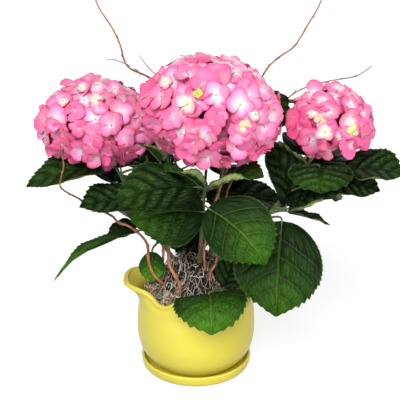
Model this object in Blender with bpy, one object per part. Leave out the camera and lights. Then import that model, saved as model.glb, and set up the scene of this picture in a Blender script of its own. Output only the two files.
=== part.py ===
# Potted mophead hydrangea: three flowering canes and two leafy ones in a glazed pot with a wavy
# rim, on its saucer, with curly willow twigs pushed into the root ball.
# Metres, +Z up. The origin is the middle of the saucer's flat underside, and -Y is the front.

import math

import bmesh
import bpy
import numpy as np
from mathutils import Vector
from mathutils.bvhtree import BVHTree

MM = 0.001
GAP = 0.3 * MM                      # clearance between neighbouring solids
WELD = 0.002 * MM
SEED = 7

# pot and saucer (the pot's belly drives the rest)
SEGMENTS = 48
BELLY = 88.7 * MM
WALL = 5.0 * MM
SAUCER_FLOOR = 5.0 * MM
DRAIN_HOLE = 6.0 * MM               # radius
NECK = (0.967, 104 * MM)            # radius as a share of the belly, height
OUTER = ((0.690, 6.5 * MM), (0.834, 18 * MM), (0.936, 32 * MM), (0.986, 48 * MM), (1.0, 64 * MM),
         (0.990, 88 * MM))          # radius as a share of the belly, height
RIM_DIP = (80 * MM, 121 * MM)       # radius and height of the rounded edge's middle between the lobes
RIM_LOBE = (104.5 * MM, 139.5 * MM)     # and at the tip of a lobe
RIM_FALL = (1.77, 0.32)             # how fast its radius and its height fall beside a lobe's tip
RIM_LOBES = 4
RIM_WIDENING = math.radians(8.5)    # the side lobes are wider than the front and back ones
RIM_BEAD = 3.7 * MM                 # radius of the rounded edge
BEAD_ANGLES = (-35, 15, 65, 115, 165)
FLARE_STEPS = (0.35, 0.7)           # shares of the way from the neck to the rim
SAUCER = ((78, 0), (82.4, 6), (83.6, 14), (81.6, 16.6), (79.2, 15.2), (73, 6.2),
          (66, 5.0))                # half section, radius and height in millimetres

# root ball: level at the wall, and heaped up behind the middle
SOIL_LEVEL = 117 * MM
SOIL_HEAP = 50 * MM
HEAP_RADIUS = 54 * MM
HEAP_BACK = 8 * MM
HEAP_STEEPNESS = 5
SOIL_EDGE = 0.86
SOIL_RINGS = (1.0, 0.86, 0.72, 0.58, 0.42, 0.22)

# canes: foot on the root ball, heading, lean from upright at foot and tip, length, and the share
# of the length at which the leaves begin (angles in degrees, heading 0 is +X and 90 is +Y)
CANES = {
    "left": dict(foot=(-30, 2), heading=177, lean=(35, 25), length=179, leafy=0.20),
    "centre": dict(foot=(6, -8), heading=-73, lean=(8, 14), length=152, leafy=0.35),
    "right": dict(foot=(30, 3), heading=0, lean=(50, 31), length=206, leafy=0.42),
    "back_left": dict(foot=(-14, 30), heading=122, lean=(12, 34), length=150, leafy=0.25),
    "back_right": dict(foot=(22, 32), heading=50, lean=(8, 20), length=205, leafy=0.25),
}
SHOOTS = {                          # short leafy shoots with no bare cane below them
    "front": dict(foot=(30, -42), heading=-80, lean=(20, 60), length=26, leafy=0.35),
}
FOOT_LIFT = 0.7 * MM                # the foot of a cane or twig follows the slope of the heap
CANE_RADIUS = (3.4 * MM, 2.6 * MM)
STEM_RADIUS = (2.6 * MM, 1.9 * MM)
PETIOLE_RADIUS = (1.7 * MM, 1.2 * MM)

# leaves placed one by one: foot of the blade (mm), heading, rise at the foot, pitch at the tip,
# roll about the midrib (degrees), length and width (mm)
LEAVES = {
    "left": (
        (-121, 10, 309, -163, 6, -26, -12, 126, 90),
        (-72, -5, 259, -156, 20, -14, -15, 101, 84),
        (-82, -6, 217, -171, -6, -57, 3, 152, 46),
        (-88, 16, 214, 176, -4, -34, -28, 48, 40),
        (-51, -10, 325, -130, 56, 16, -5, 51, 50),
        (-64, -16, 188, -92, -78, -90, 0, 47, 40),
    ),
    "centre": (
        (2, -55, 300, -159, 12, -25, -28, 117, 90),
        (12, -45, 264, -163, 12, -18, -50, 107, 112),
        (17, -62, 272, -36, -16, -52, 34, 115, 102),
        (9, -45, 296, -139, 48, 8, -5, 78, 60),
        (25, -50, 297, -35, 41, -4, 12, 87, 74),
    ),
    "right": (
        (123, -25, 239, -100, -52, -82, 4, 138, 130),
        (131, 0, 251, 156, 104, 20, -42, 104, 54),
        (173, -24, 321, -94, -2, -90, 0, 50, 94),
        (207, -15, 312, -17, 12, -13, 14, 88, 92),
        (193, -20, 293, -17, 10, -20, 22, 68, 66),
        (134, -10, 253, -23, 43, 13, 20, 87, 88),
        (135, 10, 241, -9, -7, -27, -10, 66, 50),
        (163, 15, 300, 176, 46, 21, 20, 83, 66),
    ),
    "back_right": (
        (97, 45, 362, 0, 62, 32, 30, 54, 56),
        (30, 40, 248, 11, 5, -21, 18, 115, 76),
        (18, 48, 235, -122, -30, -60, 10, 76, 42),
    ),
    "front": (
        (19, -74, 147, -88, 28, -84, 8, 88, 104),
        (40, -40, 140, 30, 68, 40, 40, 58, 46),
    ),
}

# leaves by rule, for the sides that the placed leaves leave bare: share of the cane's length at
# which each stands, and its heading; low ones hang, high ones rise
BACK_LEAVES = {
    "left": ((0.55, 90), (0.42, 120), (0.80, 105), (0.68, 150)),
    "right": ((0.68, 75), (0.80, 30), (0.92, 75), (0.50, 40)),
    "back_left": ((0.68, 135), (0.42, 60), (0.80, 30), (0.30, 125), (0.80, 90)),
    "back_right": ((0.92, 45), (0.68, 150), (0.50, 80), (0.80, 90), (0.92, 150)),
}
BACK_LEAF = dict(length=118, width=92, spread=5, rise=(-6, 34), droop=(-62, -26), petiole=30)
LEAF_GRID = ((0.0, 0.10, 0.28, 0.52, 0.78, 1.0), (-1.0, -0.5, 0.0, 0.5, 1.0))
BACK_GRID = ((0.0, 0.12, 0.36, 0.70, 1.0), (-1.0, 0.0, 1.0))
PETIOLE_STEP = 9 * MM
PETIOLE_RISE = 0.35                 # how far it climbs on its way to the blade, as a share
PETIOLE_ENTRY = 0.12                # share of the blade at which it ends, sunk in the midrib
LEAF_THICKNESS = 0.011              # share of the length
LEAF_ROOM = 3.0                     # thicknesses of room that each blade needs
LEAF_FOLD = math.radians(12)
LEAF_CURL = 0.12

# flower heads: centre and half sizes with their florets (mm), tilt about Y, number of florets
BLOOMS = {
    "left": dict(centre=(-147, 20, 374), size=(80, 74, 56), tilt=0, florets=26),
    "centre": dict(centre=(21, -45, 401), size=(94, 86, 77), tilt=9, florets=36),
    "right": dict(centre=(188, 0, 379), size=(62, 60, 53), tilt=0, florets=19),
}
FLORET_RADIUS = 19 * MM
FLORET_DEPTH = 18 * MM
FLORET_NOTCH = 0.70
FLORETS_DOWN_TO = 0.86              # how far below its middle a head has florets, as a share
CORE_SHARE = 0.90                   # core size as a share of the head's

TWIG_STEP = 16 * MM
# curly willow: points (mm) that each twig bends through, and its radius at foot and tip
TWIGS = {
    "1": dict(points=((-45, -25, 0), (-60, -27, 154), (-68, -30, 176), (-69, -35, 203),
                      (-75, -40, 219), (-93, -45, 238), (-109, -42, 243), (-119, -30, 248),
                      (-142, 0, 248), (-159, -6, 259), (-166, -28, 274), (-184, -58, 299),
                      (-182, -66, 316), (-176, -74, 337), (-178, -84, 369)), radius=(2.2, 0.8)),
    "2": dict(points=((-22, -46, 0), (-24, -46, 150), (-32, -42, 165), (-39, -35, 178),
                      (-39, -28, 200), (-35, -5, 241), (-29, 10, 274), (-29, 20, 310),
                      (-36, 34, 340), (-48, 44, 372), (-58, 42, 410), (-59, 32, 429),
                      (-71, 20, 440), (-95, 10, 455), (-104, 10, 484), (-114, 10, 507),
                      (-129, 5, 532), (-136, 5, 552), (-141, 10, 580)), radius=(2.4, 0.7)),
    "3": dict(points=((-50, -10, 0), (-49, -12, 165), (-48, -15, 195), (-55, 0, 239),
                      (-64, 20, 278), (-69, 25, 298), (-73, 40, 318)), radius=(2.2, 1.0)),
    "4": dict(points=((14, -26, 0), (12, -15, 188), (18, -4, 223), (25, 8, 249), (33, 16, 267),
                      (38, 22, 281), (56, 36, 325), (81, 40, 394), (96, 36, 438), (112, 30, 460),
                      (134, 20, 478), (144, 15, 493), (153, 10, 511), (165, 5, 534),
                      (176, 0, 565)), radius=(2.0, 0.7)),
    "5": dict(points=((20, -34, 0), (22, -31, 163), (30, -23, 175), (37, -4, 209), (44, 16, 254),
                      (48, 28, 270), (76, 60, 322), (106, 72, 366), (127, 66, 390),
                      (145, 65, 406), (169, 65, 417), (192, 64, 423), (209, 60, 427),
                      (230, 40, 436), (248, 30, 451)), radius=(2.0, 0.6)),
}

COLOURS = {                         # base colour, roughness
    "glaze": ((0.80, 0.70, 0.07), 0.25),
    "soil": ((0.05, 0.03, 0.02), 0.95),
    "cane": ((0.10, 0.20, 0.05), 0.6),
    "leaf": ((0.04, 0.14, 0.025), 0.5),
    "bloom": ((0.85, 0.22, 0.42), 0.6),
    "willow": ((0.36, 0.14, 0.05), 0.6),
}


def material(name):
    found = bpy.data.materials.get(name)
    if found:
        return found
    colour, roughness = COLOURS[name]
    made = bpy.data.materials.new(name)
    made.use_nodes = True
    shader = made.node_tree.nodes["Principled BSDF"]
    shader.inputs["Base Color"].default_value = (*colour, 1)
    shader.inputs["Roughness"].default_value = roughness
    return made


def add_object(name, vertices, faces, finish):
    mesh = bpy.data.meshes.new(name)
    mesh.from_pydata([tuple(v) for v in vertices], [], faces)
    body = bmesh.new()
    body.from_mesh(mesh)
    bmesh.ops.recalc_face_normals(body, faces=body.faces)
    body.to_mesh(mesh)
    body.free()
    mesh.materials.append(material(finish))
    made = bpy.data.objects.new(name, mesh)
    bpy.context.scene.collection.objects.link(made)
    return made


def grid_faces(rows, columns, closed_rows=False, closed_columns=False):
    faces = []
    for i in range(rows if closed_rows else rows - 1):
        for j in range(columns if closed_columns else columns - 1):
            k = (i + 1) % rows
            m = (j + 1) % columns
            faces.append((i * columns + j, i * columns + m, k * columns + m, k * columns + j))
    return faces


# --- pot, saucer and root ball ---

def around(radius, height, azimuth):
    # the azimuth runs from the front towards -X
    return (-radius * math.sin(azimuth), -radius * math.cos(azimuth), height)


def rim_at(azimuth):
    turn = azimuth + RIM_WIDENING * math.sin(2 * azimuth)
    lobe = 0.5 + 0.5 * math.cos(RIM_LOBES * turn)
    lobe = lobe * lobe * (3 - 2 * lobe)
    radius = RIM_DIP[0] + (RIM_LOBE[0] - RIM_DIP[0]) * lobe ** RIM_FALL[0]
    height = RIM_DIP[1] + (RIM_LOBE[1] - RIM_DIP[1]) * lobe ** RIM_FALL[1]
    return radius, height


def pot_section(azimuth):
    # closed half section: drain hole, foot, belly, neck, flare, rounded lip, and back down inside
    rim_radius, rim_height = rim_at(azimuth)
    neck_radius = NECK[0] * BELLY
    foot = SAUCER_FLOOR + GAP
    outer = [(DRAIN_HOLE, foot), (0.64 * BELLY, foot)]
    outer += [(share * BELLY, height) for share, height in OUTER]
    outer.append((neck_radius, NECK[1]))
    flare = []
    bend = (neck_radius + 0.5 * MM, NECK[1] + 0.62 * (rim_height - NECK[1]))
    under_lip = (rim_radius + 0.45 * RIM_BEAD, rim_height - 0.5 * RIM_BEAD)
    for t in FLARE_STEPS:
        flare.append(tuple((1 - t) ** 2 * a + 2 * t * (1 - t) * b + t * t * c for a, b, c in
                           zip((neck_radius, NECK[1]), bend, under_lip)))
    lip = [(rim_radius + RIM_BEAD * math.cos(math.radians(a)),
            rim_height + RIM_BEAD * math.sin(math.radians(a))) for a in BEAD_ANGLES]
    inner = [(r - WALL, z - 0.1 * WALL) for r, z in reversed(flare)]
    inner += [(neck_radius - WALL, NECK[1])]
    inner += [(share * BELLY - WALL, height + 0.06 * WALL) for share, height in reversed(OUTER[2:])]
    floor = SAUCER_FLOOR + 1.5 * WALL
    inner += [(0.80 * BELLY - WALL, floor + 1.5 * WALL), (0.64 * BELLY, floor), (DRAIN_HOLE, floor)]
    return outer + flare + lip + inner


def make_pot():
    sections = [pot_section(2 * math.pi * k / SEGMENTS) for k in range(SEGMENTS)]
    vertices = [around(r, z, 2 * math.pi * k / SEGMENTS)
                for k, section in enumerate(sections) for r, z in section]
    return add_object("pot", vertices, grid_faces(SEGMENTS, len(sections[0]), True, True), "glaze")


def make_saucer():
    vertices = [around(r * MM, z * MM, 2 * math.pi * k / SEGMENTS)
                for r, z in SAUCER for k in range(SEGMENTS)]
    faces = grid_faces(len(SAUCER), SEGMENTS, False, True)
    last = (len(SAUCER) - 1) * SEGMENTS
    faces += [tuple(range(SEGMENTS)), tuple(range(last, last + SEGMENTS))]
    return add_object("saucer", vertices, faces, "glaze")


def soil_top(x, y):
    reach = math.hypot(x, y - HEAP_BACK) / HEAP_RADIUS
    wall = math.hypot(x, y) / (NECK[0] * BELLY)
    return SOIL_LEVEL + SOIL_HEAP * (1 - wall ** 4) / (1 + reach ** HEAP_STEEPNESS)


def make_soil():
    clear = WALL + GAP
    sides = [(0.62 * BELLY, SAUCER_FLOOR + 1.5 * WALL + GAP), (0.80 * BELLY - clear, 22 * MM)]
    sides += [(share * BELLY - clear, height + 0.06 * WALL) for share, height in OUTER[2::2]]
    sides += [(NECK[0] * BELLY - clear, NECK[1])]
    angles = [2 * math.pi * k / SEGMENTS for k in range(SEGMENTS)]
    rings = [[around(r, z, a) for a in angles] for r, z in sides]
    edge = SOIL_EDGE * sides[-1][0]
    for share in SOIL_RINGS:
        ring = [around(edge * share, 0, a) for a in angles]
        rings.append([(x, y, soil_top(x, y)) for x, y, z in ring])
    vertices = [v for ring in rings for v in ring]
    faces = grid_faces(len(rings), SEGMENTS, False, True)
    last = (len(rings) - 1) * SEGMENTS
    faces += [tuple(range(SEGMENTS)), tuple(range(last, last + SEGMENTS))]
    return add_object("soil", vertices, faces, "soil")


# --- limbs ---

def cane_point(cane, share):
    # the lean changes evenly along the cane, so its line is an arc
    heading = math.radians(cane["heading"])
    lean = [math.radians(a) for a in cane["lean"]]
    steps = 24
    x, y = (c * MM for c in cane["foot"])
    z = soil_top(x, y) + FOOT_LIFT
    step = cane["length"] * MM * share / steps
    for k in range(steps):
        angle = lean[0] + (lean[1] - lean[0]) * share * (k + 0.5) / steps
        x += step * math.sin(angle) * math.cos(heading)
        y += step * math.sin(angle) * math.sin(heading)
        z += step * math.cos(angle)
    return Vector((x, y, z))


def add_tube(name, points, radii, sides, finish, on_soil=False):
    points = [Vector(p) for p in points]
    count = len(points)
    across = None
    vertices = []
    for k, point in enumerate(points):
        along = (points[min(k + 1, count - 1)] - points[max(k - 1, 0)]).normalized()
        if across is None:
            across = along.orthogonal().normalized()
        across = (across - along * across.dot(along)).normalized()
        third = along.cross(across)
        radius = radii[0] + (radii[1] - radii[0]) * k / (count - 1)
        for s in range(sides):
            turn = 2 * math.pi * s / sides
            spot = point + radius * (math.cos(turn) * across + math.sin(turn) * third)
            if on_soil and k == 0:
                spot.z = soil_top(spot.x, spot.y) + FOOT_LIFT
            vertices.append(spot)
    faces = grid_faces(count, sides, False, True)
    faces += [tuple(range(sides)), tuple(range((count - 1) * sides, count * sides))]
    return add_object(name, vertices, faces, finish)


def make_cane(name, cane):
    shares = [cane["leafy"] * k / 4 for k in range(5)]
    points = [cane_point(cane, s) for s in shares]
    return add_tube("cane_" + name, points, CANE_RADIUS, 7, "cane", on_soil=True)


def smooth_points(points, spacing):
    # Catmull-Rom curve through the points
    ends = [2 * points[0] - points[1]] + points + [2 * points[-1] - points[-2]]
    out = []
    for a, b, c, d in zip(ends, ends[1:], ends[2:], ends[3:]):
        pieces = max(1, round((c - b).length / spacing))
        for k in range(pieces):
            t = k / pieces
            out.append(0.5 * (2 * b + (c - a) * t + (2 * a - 5 * b + 4 * c - d) * t ** 2
                              + (3 * b - a - 3 * c + d) * t ** 3))
    return out + [points[-1]]


def make_twig(name, twig):
    points = [Vector(p) * MM for p in twig["points"]]
    points[0].z = soil_top(points[0].x, points[0].y) + FOOT_LIFT
    radii = [r * MM for r in twig["radius"]]
    points = smooth_points(points, TWIG_STEP)
    return add_tube("willow_twig_" + name, points, radii, 4, "willow", on_soil=True)


# --- leaves ---

def blade_width(share):
    # widest just short of the middle, round at the foot and pointed at the tip
    return share ** 0.5 * (1 - share ** 2.2) ** 0.9 / 0.5675


def leaf_frame(leaf, share):
    # midrib point, tangent, sideways and upward directions at a share of the blade's length
    x, y, z, heading, rise, droop, roll, length, width = leaf
    heading, rise, droop, roll = (math.radians(a) for a in (heading, rise, droop, roll))
    flat = Vector((math.cos(heading), math.sin(heading), 0))
    up = Vector((0, 0, 1))
    point = Vector((x, y, z)) * MM
    steps = 16
    step = length * MM * share / steps
    for k in range(steps):
        pitch = rise + (droop - rise) * (share * (k + 0.5) / steps) ** 1.2
        point += step * (math.cos(pitch) * flat + math.sin(pitch) * up)
    pitch = rise + (droop - rise) * share ** 1.2
    along = math.cos(pitch) * flat + math.sin(pitch) * up
    level = up.cross(flat)
    above = along.cross(level)
    side = math.cos(roll) * level + math.sin(roll) * above
    return point, along, side, along.cross(side)


def add_blade(leaf, grid, thickness=1.0):
    # the grid holds the shares of the length and of the half width that the blade is drawn through
    shares, columns = grid
    length, width = leaf[7] * MM, leaf[8] * MM
    half = 0.5 * LEAF_THICKNESS * length * thickness
    top, under = [], []
    for share in shares:
        point, along, side, above = leaf_frame(leaf, share)
        reach = max(0.5 * width * blade_width(share), 1.0 * MM)
        for c in columns:
            lift = abs(c) * math.sin(LEAF_FOLD) - LEAF_CURL * c * c
            spot = point + reach * (c * math.cos(LEAF_FOLD) * side + lift * above)
            top.append(spot + half * above)
            under.append(spot - half * above)
    rows, across = len(shares), len(columns)
    count = rows * across
    faces = grid_faces(rows, across)
    faces += [tuple(reversed([k + count for k in face])) for face in faces]
    rim = list(range(across))
    rim += [i * across + across - 1 for i in range(1, rows)]
    rim += [(rows - 1) * across + j for j in range(across - 2, -1, -1)]
    rim += [i * across for i in range(rows - 2, 0, -1)]
    for a, b in zip(rim, rim[1:] + rim[:1]):
        faces.append((a, b, b + count, a + count))
    return add_object("blade", top + under, faces, "leaf")


def petiole_points(cane, leaf):
    # leaves the stem below the blade and runs into the foot of the midrib
    foot, along = leaf_frame(leaf, 0.0)[:2]
    best, least = 1.0, math.inf
    for k in range(21):
        share = cane["leafy"] + 0.02 + (0.97 - cane["leafy"]) * k / 20
        point = cane_point(cane, share)
        distance = (point - foot).length
        miss = distance + 1.5 * abs(foot.z - point.z - PETIOLE_RISE * distance)
        if miss < least:
            best, least = share, miss
    start = cane_point(cane, best)
    entry = leaf_frame(leaf, PETIOLE_ENTRY)[0]
    reach = (foot - start).length
    upward = (foot - start).normalized() + Vector((0, 0, PETIOLE_RISE))
    first = start + 0.4 * reach * upward.normalized()
    second = foot - 0.3 * reach * along
    out = []
    pieces = max(1, min(4, int(reach / PETIOLE_STEP)))
    for k in range(pieces):
        t = k / pieces
        out.append((1 - t) ** 3 * start + 3 * t * (1 - t) ** 2 * first + 3 * t * t * (1 - t) * second
                   + t ** 3 * foot)
    return out + [foot, entry]


def tree_of(made):
    return BVHTree.FromObject(made, bpy.context.evaluated_depsgraph_get())


def touches(trees, *candidates):
    return any(tree_of(c).overlap(tree) for c in candidates for tree in trees)


def back_leaves(name, cane):
    for k, (share, heading) in enumerate(BACK_LEAVES.get(name, ())):
        rng = np.random.default_rng([SEED, k, len(name)])
        turn = heading + rng.uniform(-1, 1) * BACK_LEAF["spread"]
        size = rng.uniform(0.85, 1.1)
        out = Vector((math.cos(math.radians(turn)), math.sin(math.radians(turn)), 0.45))
        foot = cane_point(cane, share) + out * BACK_LEAF["petiole"] * MM
        rise, droop = (low + (high - low) * share for low, high in
                       (BACK_LEAF["rise"], BACK_LEAF["droop"]))
        yield (*(foot / MM), turn, rise + rng.uniform(-6, 6), droop + rng.uniform(-6, 6),
               rng.uniform(-10, 10), BACK_LEAF["length"] * size, BACK_LEAF["width"] * size)


def remove(made):
    mesh = made.data
    bpy.data.objects.remove(made)
    bpy.data.meshes.remove(mesh)


def union_of(base, group, solver):
    union = base.modifiers.new("union", "BOOLEAN")
    union.operation = "UNION"
    union.operand_type = "COLLECTION"
    union.collection = group
    union.solver = solver
    bpy.context.view_layer.update()
    graph = bpy.context.evaluated_depsgraph_get()
    mesh = bpy.data.meshes.new_from_object(base.evaluated_get(graph))
    base.modifiers.clear()
    return mesh


def fuse(name, base, others):
    # one Boolean union on a collection, applied; only the one joined body is kept
    group = bpy.data.collections.new(name)
    for other in others:
        group.objects.link(other)
    for solver in ("EXACT", "MANIFOLD"):
        mesh = union_of(base, group, solver)
        closed = keep_main_body(mesh)
        if closed:
            break
    old = base.data
    base.data = mesh
    bpy.data.meshes.remove(old)
    bpy.data.collections.remove(group)
    for other in others:
        remove(other)
    base.name = name
    mesh.name = name
    return base


def keep_main_body(mesh):
    # welds, drops the loose scraps of a union, and tells whether what is left is closed
    body = bmesh.new()
    body.from_mesh(mesh)
    bmesh.ops.remove_doubles(body, verts=body.verts, dist=WELD)
    bmesh.ops.dissolve_degenerate(body, edges=body.edges, dist=WELD)
    groups, seen = [], set()
    for face in body.faces:
        if face in seen:
            continue
        seen.add(face)
        group, queue = [], [face]
        while queue:
            current = queue.pop()
            group.append(current)
            for edge in current.edges:
                for near in edge.link_faces:
                    if near not in seen:
                        seen.add(near)
                        queue.append(near)
        groups.append(group)
    groups.sort(key=len)
    for group in groups[:-1]:
        bmesh.ops.delete(body, geom=group, context="FACES")
    loose = [v for v in body.verts if not v.link_faces]
    bmesh.ops.delete(body, geom=loose, context="VERTS")
    bmesh.ops.triangulate(body, faces=body.faces)
    closed = all(len(edge.link_faces) == 2 for edge in body.edges)
    body.to_mesh(mesh)
    body.free()
    return closed


def make_leaves(name, cane, trees):
    start = cane["leafy"] if name in CANES else 0
    points = [cane_point(cane, start + (1 - start) * k / 5) for k in range(6)]
    if start:
        points[0] += (points[1] - points[0]).normalized() * GAP
    stem = add_tube("stem", points, STEM_RADIUS, 6, "leaf", on_soil=not start)
    pieces, own = [], []
    rows = [(leaf, LEAF_GRID) for leaf in LEAVES.get(name, ())]
    rows += [(leaf, BACK_GRID) for leaf in back_leaves(name, cane)]
    # a leaf that comes too close to another solid is left out
    for leaf, grid in rows:
        blade = add_blade(leaf, grid)
        petiole = add_tube("petiole", petiole_points(cane, leaf), PETIOLE_RADIUS, 3, "leaf")
        thick = add_blade(leaf, grid, LEAF_ROOM)
        if touches(trees, thick, petiole) or (grid is BACK_GRID and touches(own, thick)):
            remove(blade)
            remove(petiole)
        else:
            own.append(tree_of(thick))
            pieces += [blade, petiole]
        remove(thick)
    return fuse("leaves_" + name, stem, pieces)


# --- flower heads ---

def add_floret(spot, outward, turn, size):
    # four sepals as a shallow star whose point is sunk into the head
    across = outward.orthogonal().normalized()
    third = outward.cross(across)
    vertices = [spot - outward * FLORET_DEPTH, spot + outward * 1.5 * MM]
    for k in range(8):
        angle = turn + math.pi * k / 4
        reach = size * (1 if k % 2 == 0 else FLORET_NOTCH)
        lift = -1.5 * MM if k % 2 == 0 else 0
        vertices.append(spot + reach * (math.cos(angle) * across + math.sin(angle) * third)
                        + lift * outward)
    faces = []
    for k in range(8):
        a, b = 2 + k, 2 + (k + 1) % 8
        faces += [(0, b, a), (1, a, b)]
    return add_object("floret", vertices, faces, "bloom")


def make_bloom(name, bloom, cane, rng):
    centre = Vector(bloom["centre"]) * MM
    size = Vector(bloom["size"]) * MM
    tilt = math.radians(bloom["tilt"])
    right = Vector((math.cos(tilt), 0, -math.sin(tilt)))
    up = Vector((math.sin(tilt), 0, math.cos(tilt)))
    front = Vector((0, 1, 0))

    def on_head(direction, share):
        return (centre + share * (size.x * direction.x * right + size.y * direction.y * front
                                  + size.z * direction.z * up))

    ball = bmesh.new()
    bmesh.ops.create_icosphere(ball, subdivisions=2, radius=1)
    vertices = [on_head(v.co.normalized(), CORE_SHARE) for v in ball.verts]
    faces = [tuple(v.index for v in face.verts) for face in ball.faces]
    ball.free()
    core = add_object("core", vertices, faces, "bloom")
    pieces = []
    golden = math.pi * (3 - math.sqrt(5))
    count = bloom["florets"]
    for k in range(count):
        height = 1 - (k + 0.5) * (1 + FLORETS_DOWN_TO) / count
        ring = math.sqrt(1 - height * height)
        angle = golden * k + rng.uniform(-0.15, 0.15)
        direction = Vector((ring * math.cos(angle), ring * math.sin(angle), height))
        spot = on_head(direction, 1.0)
        outward = (direction.x / size.x * right + direction.y / size.y * front
                   + direction.z / size.z * up).normalized()
        pieces.append(add_floret(spot, outward, rng.uniform(0, math.pi),
                                 FLORET_RADIUS * rng.uniform(0.85, 1.1)))
    tip = cane_point(cane, 1.0)
    along = (tip - cane_point(cane, 0.96)).normalized()
    low = on_head(Vector((0, 0, -1)), 0.6)
    pieces.append(add_tube("stalk", [tip + along * 2 * GAP, tip + along * 4 * MM, low],
                           (STEM_RADIUS[1], 5 * MM), 6, "bloom"))
    return fuse("bloom_" + name, core, pieces)


def main():
    for old in list(bpy.data.objects):
        bpy.data.objects.remove(old)
    rng = np.random.default_rng(SEED)
    make_saucer()
    fixed = [make_pot(), make_soil()]
    fixed += [make_cane(name, cane) for name, cane in CANES.items()]
    fixed += [make_twig(name, twig) for name, twig in TWIGS.items()]
    for name, bloom in BLOOMS.items():
        fixed.append(make_bloom(name, bloom, CANES[name], rng))
    trees = [tree_of(made) for made in fixed]
    for name, cane in {**CANES, **SHOOTS}.items():
        made = make_leaves(name, cane, trees)
        trees.append(tree_of(made))
    for made in bpy.data.objects:
        made.data.shade_smooth()
        made.data.set_sharp_from_angle(angle=math.radians(30))


main()
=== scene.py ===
import math

import bpy
import numpy as np
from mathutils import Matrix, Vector


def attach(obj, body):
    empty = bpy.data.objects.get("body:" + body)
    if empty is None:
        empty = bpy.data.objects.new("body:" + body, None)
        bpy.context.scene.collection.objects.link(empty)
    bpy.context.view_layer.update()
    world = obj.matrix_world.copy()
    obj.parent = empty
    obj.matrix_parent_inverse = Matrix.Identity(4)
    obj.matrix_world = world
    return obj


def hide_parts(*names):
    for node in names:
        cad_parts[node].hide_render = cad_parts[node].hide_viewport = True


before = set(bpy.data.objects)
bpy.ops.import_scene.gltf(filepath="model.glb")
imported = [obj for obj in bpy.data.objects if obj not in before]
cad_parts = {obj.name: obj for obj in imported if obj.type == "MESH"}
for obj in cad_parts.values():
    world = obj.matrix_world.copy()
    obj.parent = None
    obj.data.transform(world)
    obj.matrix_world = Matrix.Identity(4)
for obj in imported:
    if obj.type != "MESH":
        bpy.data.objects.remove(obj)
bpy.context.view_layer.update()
mm = 0.001
seed = 7


# arrays and meshes

def unit(v):
    # each vector divided by its own length
    return v / np.maximum(np.linalg.norm(v, axis=-1, keepdims=True), 1e-12)


def sideOf(v):
    # a unit vector square to each v: its cross product with Z, or with X where v is near Z
    guess = np.where(np.abs(v[:, 2:]) < 0.9, np.array([[0, 0, 1.0]]), np.array([[1.0, 0, 0]]))
    return unit(np.cross(v, guess))


def fullTurn(count):
    # angles round a circle in even steps of 2 pi / count
    return np.linspace(0, 2 * math.pi, count, endpoint=False)


def gridQuads(rows, cols, wrap=False, loop=False):
    # quads of a grid of rows by cols points; wrap joins the last column to the first, loop the last row
    i = np.arange(rows if loop else rows - 1)[:, None]
    j = np.arange(cols if wrap else cols - 1)[None, :]
    k, after = (j + 1) % cols, (i + 1) % rows * cols
    return np.stack([i * cols + j, i * cols + k, after + k, after + j], -1).reshape(-1, 4)


def smoothNoise(p, scale, salt=0):
    # soft noise in -1..1: a sum of sines of the points along fixed random directions
    dice = np.random.default_rng([seed, salt])
    total = np.zeros(p.shape[:-1])
    for octave in range(3):
        ways = dice.normal(size=(4, 3)) * scale * 1.9 ** octave
        shift = dice.uniform(0, 2 * math.pi, 4)
        total += np.sin(p @ ways.T + shift).sum(-1) / (4 * 1.7 ** octave)
    return total


def bezier(t, *points):
    # Bezier curve: the sum of (n over k) * t^k * (1 - t)^(n - k) * point k
    n = len(points) - 1
    return sum(math.comb(n, k) * t ** k * (1 - t) ** (n - k) * point for k, point in enumerate(points))


def throughPoints(points, steps):
    # a smooth curve through the points (Catmull-Rom), steps points for each stretch
    p = np.asarray(points, float)
    ends = np.concatenate([2 * p[:1] - p[1:2], p, 2 * p[-1:] - p[-2:-1]])
    t = (np.arange(steps) / steps)[None, :, None]
    a, b, c, d = (x[:, None] for x in (ends[:-3], ends[1:-2], ends[2:-1], ends[3:]))
    curve = 0.5 * (2 * b + (c - a) * t + (2 * a - 5 * b + 4 * c - d) * t ** 2
                   + (3 * b - a - 3 * c + d) * t ** 3)
    return np.concatenate([curve.reshape(-1, p.shape[1]), p[-1:]])


def join(shapes):
    # one shape from many: a shape holds verts, quads, tris, uv and any other value for each vertex
    offsets = np.cumsum([0] + [len(s["verts"]) for s in shapes])
    out = {}
    for key in shapes[0]:
        faces = key in ("quads", "tris")
        out[key] = np.concatenate([s[key] + o if faces else s[key] for s, o in zip(shapes, offsets)])
    return out


def addPiece(name, shape, material, *nodes, slot, sharpAt=None):
    # makes the mesh object, lets it stand for the nodes, and rides it on the one body
    mesh = bpy.data.meshes.new(name)
    quads, tris = shape["quads"].astype(np.int32), shape["tris"].astype(np.int32)
    corners = np.concatenate([quads.ravel(), tris.ravel()])
    starts = np.concatenate([np.arange(len(quads)) * 4, len(quads) * 4 + np.arange(len(tris)) * 3])
    mesh.vertices.add(len(shape["verts"]))
    mesh.vertices.foreach_set("co", shape["verts"].astype(np.float32).ravel())
    mesh.loops.add(len(corners))
    mesh.loops.foreach_set("vertex_index", corners)
    mesh.polygons.add(len(starts))
    mesh.polygons.foreach_set("loop_start", starts.astype(np.int32))
    mesh.update(calc_edges=True)
    for key, values in shape.items():
        if key == "uv":
            layer = mesh.uv_layers.new(name="pieceUv")
            layer.uv.foreach_set("vector", values[corners].astype(np.float32).ravel())
        elif key not in ("verts", "quads", "tris"):
            mesh.attributes.new(key, "FLOAT", "POINT").data.foreach_set("value", values.astype(np.float32))
    mesh.shade_smooth()
    if sharpAt:
        mesh.set_sharp_from_angle(angle=math.radians(sharpAt))
    mesh.materials.append(material)
    piece = addObject(name, mesh)
    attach(piece, "root")
    if nodes:
        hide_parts(*nodes)


def addObject(name, data):
    thing = bpy.data.objects.new(name, data)
    bpy.context.scene.collection.objects.link(thing)
    return thing


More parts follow.
